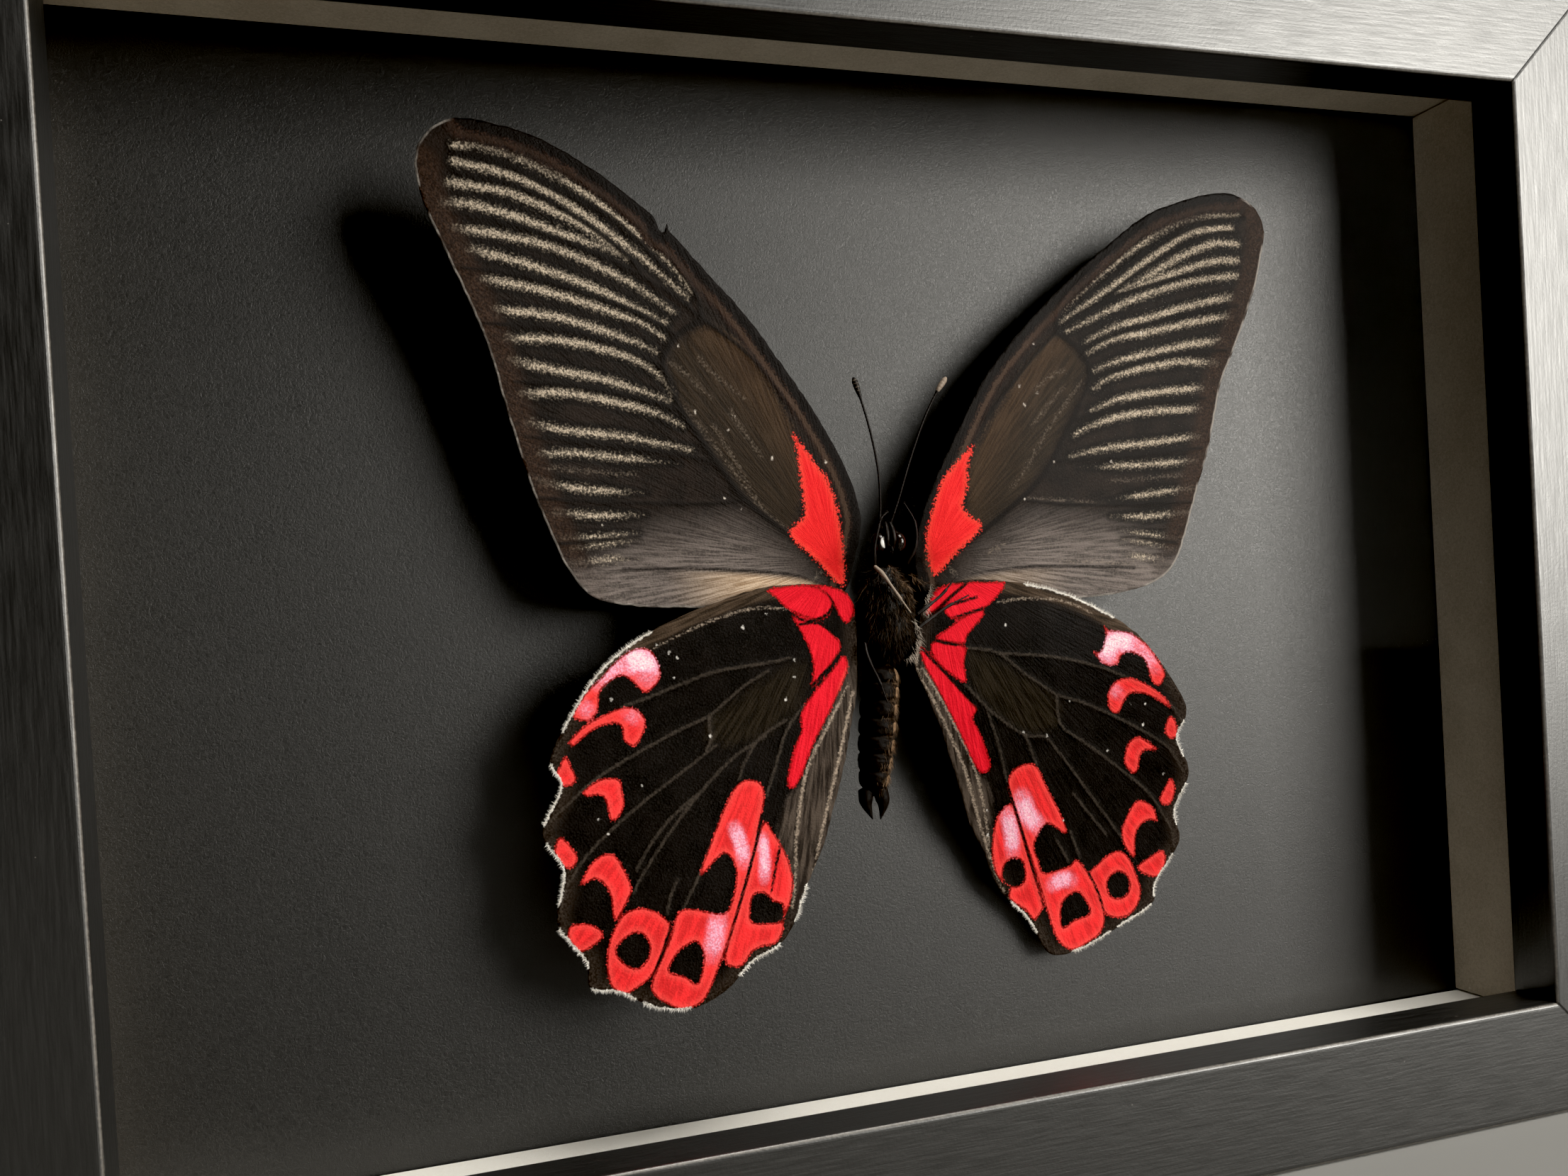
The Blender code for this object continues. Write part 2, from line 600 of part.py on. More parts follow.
def make_antennae(shop):
    """Make the antennae: each a thin shaft that swells into a club."""
    for name, route in (("antenna_left", ANTENNA_LEFT), ("antenna_right", ANTENNA_RIGHT)):
        path = smooth_path(route, 4)
        tip = path[-1]
        radii = []
        for spot in path:
            swell = smoothstep(1.0 - (spot - tip).length / CLUB_LENGTH)
            radii.append(ANTENNA_RADIUS + (CLUB_RADIUS - ANTENNA_RADIUS) * swell)
        shop.wire(name, path, radii, "insect_body")


def make_legs(shop):
    """Make the six folded legs."""
    for name, route in LEGS.items():
        path = smooth_path(route, 3)
        shop.wire(name, path, [LEG_RADIUS] * len(path), "insect_body")


def make_pin(shop):
    """Make the pin that carries the insect, from its back to the board."""
    bm = bmesh.new()
    front = BODY_DEPTH + THORAX_HALF[1] + GAP
    shop.cylinder(bm, PIN_RADIUS, front, BOARD_FRONT - GAP, 12)
    across, up = THORAX_CENTRE
    shop.add_bmesh("specimen_pin", bm, "bright_steel", place(across, 0.0, up))


def main():
    """Build the whole part."""
    clear_scene()
    shop = Workshop()
    make_frame(shop)
    make_stack(shop)
    make_points(shop)
    make_hanger(shop)
    make_pin(shop)
    make_wings(shop)
    make_body(shop)
    make_antennae(shop)
    make_legs(shop)


main()
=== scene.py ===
"""A framed butterfly specimen: mouldings, boards, wings, body, light and camera."""

import logging
import math
from dataclasses import dataclass
from enum import Enum

import bmesh
import bpy
import numpy as np
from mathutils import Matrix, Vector, noise
from mathutils.geometry import delaunay_2d_cdt


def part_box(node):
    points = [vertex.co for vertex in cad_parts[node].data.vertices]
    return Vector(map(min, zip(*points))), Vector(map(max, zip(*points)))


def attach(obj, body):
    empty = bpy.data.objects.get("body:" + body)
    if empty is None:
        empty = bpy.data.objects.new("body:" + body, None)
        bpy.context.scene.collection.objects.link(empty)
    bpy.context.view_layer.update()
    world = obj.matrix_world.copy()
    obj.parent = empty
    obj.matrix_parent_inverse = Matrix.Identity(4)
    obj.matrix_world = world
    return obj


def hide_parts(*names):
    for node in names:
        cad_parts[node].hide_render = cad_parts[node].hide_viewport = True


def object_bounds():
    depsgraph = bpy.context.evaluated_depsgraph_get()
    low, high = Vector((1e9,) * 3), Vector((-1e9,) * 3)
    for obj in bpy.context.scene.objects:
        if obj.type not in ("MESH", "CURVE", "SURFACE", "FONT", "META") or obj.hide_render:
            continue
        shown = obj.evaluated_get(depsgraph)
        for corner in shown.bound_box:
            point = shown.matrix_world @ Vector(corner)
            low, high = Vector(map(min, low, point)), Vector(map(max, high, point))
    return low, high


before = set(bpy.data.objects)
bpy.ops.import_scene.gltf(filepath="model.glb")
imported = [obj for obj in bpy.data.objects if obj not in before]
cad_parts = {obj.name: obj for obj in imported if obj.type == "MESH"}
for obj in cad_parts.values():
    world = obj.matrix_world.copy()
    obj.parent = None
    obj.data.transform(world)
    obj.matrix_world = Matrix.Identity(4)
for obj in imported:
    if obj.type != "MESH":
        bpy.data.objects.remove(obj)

LOG = logging.getLogger("framed_butterfly")
MM = 0.001
ROOT = "root"
CAD_LOW, CAD_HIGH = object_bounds()
CENTRE_ACROSS = (CAD_LOW.x + CAD_HIGH.x) / 2
CENTRE_UP = (CAD_LOW.z + CAD_HIGH.z) / 2

Point = tuple[float, float]
Spot = tuple[float, float, float]
Line = tuple[Point, ...]
Colour = tuple[float, float, float]
Shades = tuple[Colour, Colour]
Fed = dict[str | int, object]
Array = np.ndarray
Socket = bpy.types.NodeSocket
Tree = bpy.types.NodeTree
Node = bpy.types.Node
Material = bpy.types.Material
Mesh = bpy.types.Mesh
Piece = bpy.types.Object


def place(across: float, depth: float, up: float) -> Vector:
    """Turn a spot in the frame into metres.

    Args:
        across: millimetres to the right of the opening's centre.
        depth: millimetres behind the moulding's face.
        up: millimetres above the opening's centre.

    Returns:
        The spot in the model's own frame.
    """
    return Vector((CENTRE_ACROSS + across * MM, CAD_LOW.y + depth * MM, CENTRE_UP + up * MM))


# ---------------------------------------------------------------- node trees


class Graph:
    """A node tree being built, with a short call for each kind of node it uses."""

    def __init__(self, tree: Tree) -> None:
        """Keep the tree that the calls add to."""
        self.tree = tree

    def feed(self, socket: Socket, value: object) -> None:
        """Link a socket into an input, or set the input to a plain value."""
        if isinstance(value, Socket):
            self.tree.links.new(value, socket)
        elif hasattr(socket.default_value, "__len__") and len(socket.default_value) == 4:
            socket.default_value = (*value, 1.0)
        else:
            socket.default_value = value

    def node(self, kind: str, fed: Fed | None = None, **settings: object) -> Node:
        """Add a node.

        Args:
            kind: the node's type name.
            fed: what goes into its inputs, by their name or place.
            settings: properties to set on it.

        Returns:
            The new node.
        """
        made = self.tree.nodes.new(kind)
        for name, value in settings.items():
            setattr(made, name, value)
        for name, value in (fed or {}).items():
            self.feed(made.inputs[name], value)
        return made

    def put(self, made: Node, **values: object) -> None:
        """Feed a node's inputs by name, with an underscore for each space."""
        for name, value in values.items():
            self.feed(made.inputs[name.replace("_", " ")], value)

    def maths(self, operation: str, *values: object, clamp: bool = False) -> Socket:
        """Combine numbers with one operation and return the result."""
        fed = dict(enumerate(values))
        return self.node("ShaderNodeMath", fed, operation=operation, use_clamp=clamp).outputs[0]

    def times(self, first: object, second: object, clamp: bool = False) -> Socket:
        """Multiply two numbers."""
        return self.maths("MULTIPLY", first, second, clamp=clamp)

    def plus(self, first: object, second: object, clamp: bool = False) -> Socket:
        """Add two numbers."""
        return self.maths("ADD", first, second, clamp=clamp)

    def vector(self, operation: str, first: Socket, second: Socket) -> Socket:
        """Combine two vectors, or a vector and the number that scales it."""
        other = "Scale" if operation == "SCALE" else 1
        return self.node("ShaderNodeVectorMath", {0: first, other: second}, operation=operation).outputs[0]

    def step(self, value: object, low: float, high: float, start: float = 0.0, end: float = 1.0) -> Socket:
        """Ease from one number to another while a value crosses a range.

        Args:
            value: the number that crosses the range.
            low: where the change starts.
            high: where it ends; it may be the smaller of the two.
            start: what comes out before it.
            end: what comes out after it.

        Returns:
            The eased number.
        """
        if low > high:
            low, high, start, end = high, low, end, start
        fed = dict(enumerate((value, low, high, start, end)))
        return self.node("ShaderNodeMapRange", fed, interpolation_type="SMOOTHSTEP").outputs[0]

    def mix(self, factor: object, first: object, second: object) -> Socket:
        """Mix two colours by a factor and return the colour."""
        return self.node("ShaderNodeMix", {0: factor, 6: first, 7: second}, data_type="RGBA").outputs[2]

    def noise(self, spot: object, scale: float, detail: float = 2.0, roughness: float = 0.5) -> Socket:
        """Add a noise pattern, of so many blotches to the millimetre, and return its strength."""
        fed = {"Vector": spot, "Scale": scale, "Detail": detail, "Roughness": roughness}
        return self.node("ShaderNodeTexNoise", fed).outputs["Fac"]

    def layer(self, name: str) -> Socket:
        """Read a number that the mesh carries at its points."""
        return self.node("ShaderNodeAttribute", attribute_name=name).outputs["Fac"]

    def spot(self, stretch: Spot = (1.0, 1.0, 1.0)) -> Socket:
        """Return the object's own coordinates in millimetres, stretched along its axes."""
        held = self.node("ShaderNodeTexCoord").outputs["Object"]
        scale = tuple(factor / MM for factor in stretch)
        return self.node("ShaderNodeMapping", {"Vector": held, "Scale": scale}).outputs[0]

    def bump(self, height: object, distance: float) -> Socket:
        """Turn a height into a bumped normal, of so many millimetres at its fullest."""
        return self.node("ShaderNodeBump", {"Distance": distance * MM, "Height": height}).outputs[0]

    def group(self, tree: Tree, **values: object) -> Node:
        """Place a node group, with its inputs fed by name (an underscore for each space)."""
        made = self.node("ShaderNodeGroup", node_tree=tree)
        self.put(made, **values)
        return made


def shade(colour: Colour, share: float) -> Colour:
    """Scale a colour's brightness."""
    return tuple(share * part for part in colour)


def group_tree(name: str, inputs: dict[str, float | None], outputs: tuple[str, ...]) -> tuple:
    """Start a shader node group.

    Args:
        name: the group's name.
        inputs: each input's default by its name, with None for a vector.
        outputs: the names of the numbers it puts out.

    Returns:
        The tree, its Graph, what it is given by name, and its output node.
    """
    tree = bpy.data.node_groups.new(name, "ShaderNodeTree")
    for label, default in inputs.items():
        kind = "NodeSocketVector" if default is None else "NodeSocketFloat"
        socket = tree.interface.new_socket(label, in_out="INPUT", socket_type=kind)
        if default is not None:
            socket.default_value = default
    for label in outputs:
        tree.interface.new_socket(label, in_out="OUTPUT", socket_type="NodeSocketFloat")
    graph = Graph(tree)
    return tree, graph, graph.node("NodeGroupInput").outputs, graph.node("NodeGroupOutput")


class Effects:
    """The effects that several finishes share, each built once as a node group."""

    def __init__(self) -> None:
        """Build every shared effect."""
        self.fibres = self._fibres()
        self.scales = self._scales()
        self.dust = self._dust()
        self.ragged = self._ragged()

    def _fibres(self) -> Tree:
        """Build matted paper fibres: a tone from 0 to 1 and a height."""
        inputs = {"Vector": None, "Fineness": 1.0}
        tree, g, given, out = group_tree("Paper fibres", inputs, ("Tone", "Height"))
        fed = {
            "Vector": given["Vector"], "Scale": g.times(given["Fineness"], 2.2),
            "Detail": 5.0, "Roughness": 0.62, "Distortion": 1.2,
        }
        strands = g.node("ShaderNodeTexNoise", fed).outputs["Fac"]
        patches = g.noise(given["Vector"], 0.16, 3.0)
        tone = g.plus(g.times(strands, 0.7), g.times(patches, 0.3))
        g.put(out, Tone=g.step(tone, 0.32, 0.68), Height=strands)
        return tree

    def _scales(self) -> Tree:
        """Build wing scales: flecks from 0 to 1 and the height of their overlapping rows."""
        tree, g, given, out = group_tree("Wing scales", {"Vector": None}, ("Flecks", "Height"))
        cells = g.node("ShaderNodeTexVoronoi", {"Vector": given["Vector"], "Scale": 4.2}).outputs["Distance"]
        drift = g.noise(given["Vector"], 3.4, 3.0, 0.6)
        flecks = g.plus(g.times(drift, 1.3), g.times(cells, -0.45))
        g.put(out, Flecks=g.step(flecks, 0.22, 0.72), Height=g.maths("SUBTRACT", drift, cells))
        return tree

    def _dust(self) -> Tree:
        """Build scattered specks: a mask that is 1 on a speck."""
        tree, g, given, out = group_tree("Dust specks", {"Vector": None, "Share": 0.02}, ("Mask",))
        cells = g.node("ShaderNodeTexVoronoi", {"Vector": given["Vector"], "Scale": 0.9}).outputs
        pick = g.node("ShaderNodeSeparateColor", {0: cells["Color"]}).outputs
        chosen = g.maths("LESS_THAN", pick[0], given["Share"])
        near = g.maths("LESS_THAN", cells["Distance"], g.times(pick[1], 0.16))
        g.put(out, Mask=g.times(chosen, near))
        return tree

    def _ragged(self) -> Tree:
        """Build a mask from a distance in millimetres, with an edge ragged by scales."""
        inputs = {"Distance": 0.0, "Flecks": 0.5, "Raggedness": 0.3, "Softness": 0.1}
        tree, g, given, out = group_tree("Ragged edge", inputs, ("Mask",))
        shift = g.times(g.maths("SUBTRACT", given["Flecks"], 0.5), given["Raggedness"])
        moved = g.times(g.plus(given["Distance"], shift), 0.5)
        g.put(out, Mask=g.plus(g.maths("DIVIDE", moved, given["Softness"]), 0.5, clamp=True))
        return tree


EFFECTS = Effects()


def new_material(name: str) -> tuple[Material, Graph, Node]:
    """Start a material.

    Args:
        name: the material's name.

    Returns:
        The material, its Graph and its Principled shader.
    """
    material = bpy.data.materials.new(name)
    material.use_nodes = True
    graph = Graph(material.node_tree)
    return material, graph, material.node_tree.nodes["Principled BSDF"]


# ------------------------------------------------------------------ finishes


class Run(Enum):
    """The axis that a moulding's brush marks run along."""

    ACROSS = (0.06, 1.0, 1.0)
    UPRIGHT = (1.0, 1.0, 0.06)


@dataclass(frozen=True)
class MouldingPaint:
    """Black satin paint over brushed wood, with wear at the arrises and a pale highlight painted along them.
    """

    run: Run
    colour: Colour = (0.0030, 0.0028, 0.0024)
    # The pale arris colour below is wear and also a painted highlight along the rounded arrises.
    wear_and_highlight: Colour = (0.170, 0.152, 0.130)
    speck: Colour = (0.16, 0.15, 0.135)
    roughness: float = 0.38
    relief: float = 0.024

    def material(self) -> Material:
        """Build the paint and return it."""
        made, g, shader = new_material(f"moulding_paint_{self.run.name.lower()}")
        grain = g.noise(g.spot(self.run.value), 3.0, 4.0, 0.6)
        pores = g.noise(g.spot(), 2.4, 3.0, 0.6)
        # Mask for the arris colour: wear, and a painted highlight on the rounded edges.
        arris_wear_highlight_mask = g.step(g.plus(g.layer("arris"), g.times(pores, 0.5)), 0.9, 1.45)
        specks = g.group(EFFECTS.dust, Vector=g.spot(), Share=0.03).outputs["Mask"]
        tone = g.mix(g.step(grain, 0.3, 0.7), self.colour, shade(self.colour, 1.7))
        tone = g.mix(g.times(arris_wear_highlight_mask, 0.85), tone, self.wear_and_highlight)
        g.put(
            shader,
            Base_Color=g.mix(g.times(specks, 0.5), tone, self.speck),
            Specular_IOR_Level=1.0,
            Coat_Weight=0.1,
            Coat_Roughness=self.roughness,
            Roughness=g.step(grain, 0.2, 0.8, self.roughness - 0.07, self.roughness + 0.08),
            Normal=g.bump(g.plus(grain, g.times(pores, 0.8)), self.relief),
        )
        return made


@dataclass(frozen=True)
class PaperFinish:
    """Card, board or hardboard with matted fibres and a little dust."""

    name: str
    dark: Colour
    light: Colour
    roughness: float
    relief: float
    fineness: float = 1.0
    dust: float = 0.02
    specular: float = 0.5

    def material(self) -> Material:
        """Build the paper and return it."""
        made, g, shader = new_material(self.name)
        fibres = g.group(EFFECTS.fibres, Vector=g.spot(), Fineness=self.fineness).outputs
        specks = g.group(EFFECTS.dust, Vector=g.spot(), Share=self.dust).outputs["Mask"]
        tone = g.mix(fibres["Tone"], self.dark, self.light)
        pale = tuple(min(0.8, part) for part in shade(self.light, 3.5))
        g.put(
            shader,
            Base_Color=g.mix(g.times(specks, 0.4), tone, pale),
            Specular_IOR_Level=self.specular,
            Roughness=g.step(fibres["Height"], 0.3, 0.7, self.roughness - 0.06, self.roughness + 0.06),
            Normal=g.bump(fibres["Height"], self.relief),
        )
        return made


@dataclass(frozen=True)
class SteelFinish:
    """Bright steel with fine drawn lines."""

    name: str
    colour: Colour = (0.58, 0.57, 0.55)

    def material(self) -> Material:
        """Build the steel and return it."""
        made, g, shader = new_material(self.name)
        lines = g.noise(g.spot((0.08, 1.0, 1.0)), 6.0, 3.0)
        g.put(
            shader,
            Base_Color=g.mix(g.step(lines, 0.3, 0.7), shade(self.colour, 0.55), self.colour),
            Metallic=1.0,
            Roughness=g.step(lines, 0.2, 0.8, 0.26, 0.44),
            Normal=g.bump(lines, 0.01),
        )
        return made


@dataclass(frozen=True)
class GlassFinish:
    """Clear picture glass, nearly free of reflection, with a faint uneven polish."""

    alpha: float = 0.012
    colour: Colour = (0.03, 0.032, 0.031)

    def material(self) -> Material:
        """Build the glass and return it."""
        made, g, shader = new_material("picture_glass")
        polish = g.step(g.noise(g.spot(), 0.03, 1.0), 0.3, 0.7, 0.02, 0.05)
        g.put(shader, Base_Color=self.colour, Alpha=self.alpha, Specular_IOR_Level=0.10, Roughness=polish)
        return made


@dataclass(frozen=True)
class ShellFinish:
    """The insect's horny skin: dark, a little glossy and finely pitted."""

    name: str
    dark: Colour
    light: Colour
    roughness: float = 0.42
    pitting: float = 5.0
    relief: float = 0.03
    specular: float = 0.18

    def material(self) -> Material:
        """Build the skin and return it; the mesh's "pale" layer lightens it."""
        made, g, shader = new_material(self.name)
        pits = g.noise(g.spot(), self.pitting, 3.0, 0.6)
        pale = g.step(g.plus(g.layer("pale"), g.times(pits, 0.35)), 0.45, 0.85)
        dark = g.mix(g.step(pits, 0.35, 0.7), self.dark, shade(self.dark, 2.0))
        g.put(
            shader,
            Base_Color=g.mix(pale, dark, self.light),
            Specular_IOR_Level=self.specular,
            Roughness=g.step(pits, 0.3, 0.7, self.roughness - 0.08, self.roughness + 0.1),
            Normal=g.bump(pits, self.relief),
        )
        return made


@dataclass(frozen=True)
class HairFinish:
    """Hair or fringe scales, darker at random along the coat."""

    name: str
    dark: Colour
    light: Colour

    def material(self) -> Material:
        """Build the hair and return it."""
        made, g, shader = new_material(self.name)
        tone = g.mix(g.step(g.noise(g.spot(), 0.8, 3.0, 0.6), 0.35, 0.65), self.dark, self.light)
        g.put(shader, Base_Color=tone, Roughness=0.55, Specular_IOR_Level=0.16)
        return made


@dataclass(frozen=True)
class WingFinish:
    """A wing's underside: scales coloured by the distances that the wing's mesh carries."""

    name: str
    roughness: float = 0.62
    specular: float = 0.12
    relief: float = 0.05

    def material(self) -> Material:
        """Build the wing's finish and return it."""
        made, g, shader = new_material(self.name)
        spot = g.spot()
        scales = g.group(EFFECTS.scales, Vector=spot).outputs
        around, outward = g.times(g.layer("bearing"), 60.0), g.times(g.layer("reach"), 0.22)
        lines = g.node("ShaderNodeCombineXYZ", {0: around, 1: outward}).outputs[0]
        fan = g.step(g.noise(lines, 1.0, 3.0, 0.6), 0.36, 0.64)
        tone, raised = self.paint(g, scales["Flecks"], g.noise(spot, 5.0, 2.0), fan)
        height = g.maths("MULTIPLY_ADD", scales["Height"], 0.6, raised)
        height = g.maths("MULTIPLY_ADD", fan, 0.5, height)
        g.put(
            shader,
            Base_Color=tone,
            Roughness=self.roughness,
            Specular_IOR_Level=self.specular,
            Normal=g.bump(height, self.relief),
        )
        return made

    def ragged(self, g: Graph, name: str, flecks: Socket, raggedness: float, softness: float) -> Socket:
        """Turn one of the mesh's distances into a mask with a ragged edge.

        Args:
            g: the material's Graph.
            name: the layer that holds the distance.
            flecks: the scales' flecks.
            raggedness: how far the flecks shift the edge, in millimetres.
            softness: half the width of the edge's fade, in millimetres.

        Returns:
            The mask.
        """
        fed = {"Distance": g.layer(name), "Flecks": flecks, "Raggedness": raggedness, "Softness": softness}
        return g.group(EFFECTS.ragged, **fed).outputs["Mask"]

    def paint(self, g: Graph, flecks: Socket, fine: Socket, fan: Socket) -> tuple[Socket, Socket]:
        """Mix the wing's colours.

        Args:
            g: the material's Graph.
            flecks: the scales' flecks.
            fine: a finer grain.
            fan: fine lines that fan out from the wing's root.

        Returns:
            The colour, and the height of what stands out.
        """
        raise NotImplementedError


@dataclass(frozen=True)
class ForewingFinish(WingFinish):
    """The forewing: brown-black, streaked beside its veins, red at the base."""

    glow: float = 1.0
    ground: Shades = ((0.0052, 0.0034, 0.0026), (0.0120, 0.0076, 0.0058))
    fleck: Colour = (0.040, 0.030, 0.024)
    satin: Shades = ((0.050, 0.041, 0.037), (0.165, 0.136, 0.124))
    satin_fleck: Colour = (0.21, 0.175, 0.155)
    lit: Shades = ((0.33, 0.215, 0.125), (0.66, 0.50, 0.36))
    cell: Colour = (0.0135, 0.0088, 0.0053)
    cell_front: Shades = ((0.035, 0.019, 0.010), (0.066, 0.038, 0.020))
    ray: Colour = (0.22, 0.175, 0.135)
    beside: Colour = (0.0042, 0.0029, 0.0023)
    margin: Shades = ((0.0135, 0.0072, 0.0048), (0.040, 0.022, 0.014))
    streak: Colour = (0.52, 0.43, 0.33)
    vein: Colour = (0.0048, 0.0032, 0.0025)
    costa: Shades = ((0.009, 0.0050, 0.0038), (0.036, 0.018, 0.012))
    costa_line: Colour = (0.060, 0.036, 0.024)
    costa_edge: Colour = (0.0045, 0.0032, 0.0028)
    red: Shades = ((0.66, 0.010, 0.014), (0.86, 0.026, 0.026))
    red_edge: Colour = (0.88, 0.075, 0.045)
    rim: Colour = (0.33, 0.30, 0.27)
    dot: Colour = (0.62, 0.55, 0.48)

    def paint(self, g: Graph, flecks: Socket, fine: Socket, fan: Socket) -> tuple[Socket, Socket]:
        """Mix the wing's colours and return them with the height of the streaks."""
        reach, haze, edge = g.layer("reach"), g.layer("haze"), g.layer("edge")
        front, streaks = g.layer("costa"), g.layer("streak")
        tone = g.mix(g.step(g.noise(g.spot(), 0.35, 3.0), 0.35, 0.65), *self.ground)
        tone = g.mix(g.times(flecks, 0.24), tone, self.fleck)
        satin = g.mix(g.times(flecks, 0.35), g.mix(fan, *self.satin), self.satin_fleck)
        tone = g.mix(haze, tone, satin)
        glow = g.times(g.step(reach, 21.0, 8.0, 0.0, self.glow), g.layer("glow"))
        tone = g.mix(glow, tone, g.mix(fan, *self.lit))
        cell = g.mix(fan, self.cell, shade(self.cell, 2.1))
        cell = g.mix(g.step(front, 9.0, 3.0, 0.0, 0.75), cell, g.mix(fan, *self.cell_front))
        tone = g.mix(self.ragged(g, "cell", flecks, 0.6, 0.5), tone, cell)
        rays = g.times(self.ragged(g, "rays", flecks, 0.5, 0.22), g.step(fine, 0.3, 0.6, 0.0, 0.45))
        tone = g.mix(rays, tone, self.ray)
        beside = g.times(g.step(streaks, -0.95, -0.4), g.step(haze, 0.7, 0.1, 0.2, 0.8))
        tone = g.mix(beside, tone, self.beside)
        outer = g.maths("MULTIPLY_ADD", flecks, 0.9, g.layer("margin"))
        margin = g.times(g.step(outer, 3.6, 2.3), g.step(haze, 0.2, 0.8, 1.0, 0.25))
        tone = g.mix(margin, tone, g.mix(flecks, *self.margin))
        dusting = g.times(self.ragged(g, "streak", flecks, 0.50, 0.24), g.step(fine, 0.38, 0.58, 0.22, 1.0))
        dusting = g.times(dusting, g.step(outer, 2.3, 4.8, 0.1, 1.0))
        core = g.step(g.maths("MULTIPLY_ADD", flecks, 0.25, streaks), 0.12, 0.50)
        tone = g.mix(dusting, tone, g.mix(core, shade(self.streak, 0.42), self.streak))
        tone = g.mix(g.times(self.ragged(g, "vein", flecks, 0.12, 0.12), 0.93), tone, self.vein)
        costa = g.maths("MULTIPLY_ADD", flecks, 0.25, front)
        tone = g.mix(g.step(costa, 2.75, 2.2), tone, g.mix(g.times(fan, flecks), *self.costa))
        line = g.times(g.step(costa, 1.35, 1.6), g.step(costa, 2.2, 1.9))
        inner = g.step(g.step(reach, 40.0, 24.0), 0.0, 1.0, 0.25, 0.8)
        tone = g.mix(g.times(line, inner), tone, self.costa_line)
        tone = g.mix(g.step(costa, 1.35, 1.05), tone, self.costa_edge)
        scarlet = g.mix(g.step(g.layer("red"), 1.0, 0.0, 0.0, 0.5), g.mix(fan, *self.red), self.red_edge)
        tone = g.mix(self.ragged(g, "red", flecks, 0.55, 0.16), tone, scarlet)
        rim = g.times(g.step(edge, 0.30, 0.12), g.step(g.noise(g.spot(), 0.22, 2.0), 0.42, 0.52))
        tone = g.mix(g.times(rim, g.step(front, 1.2, 2.6, 0.0, 0.75)), tone, self.rim)
        tone = g.mix(self.ragged(g, "dots", flecks, 0.1, 0.08), tone, self.dot)
        return tone, g.times(dusting, 0.4)


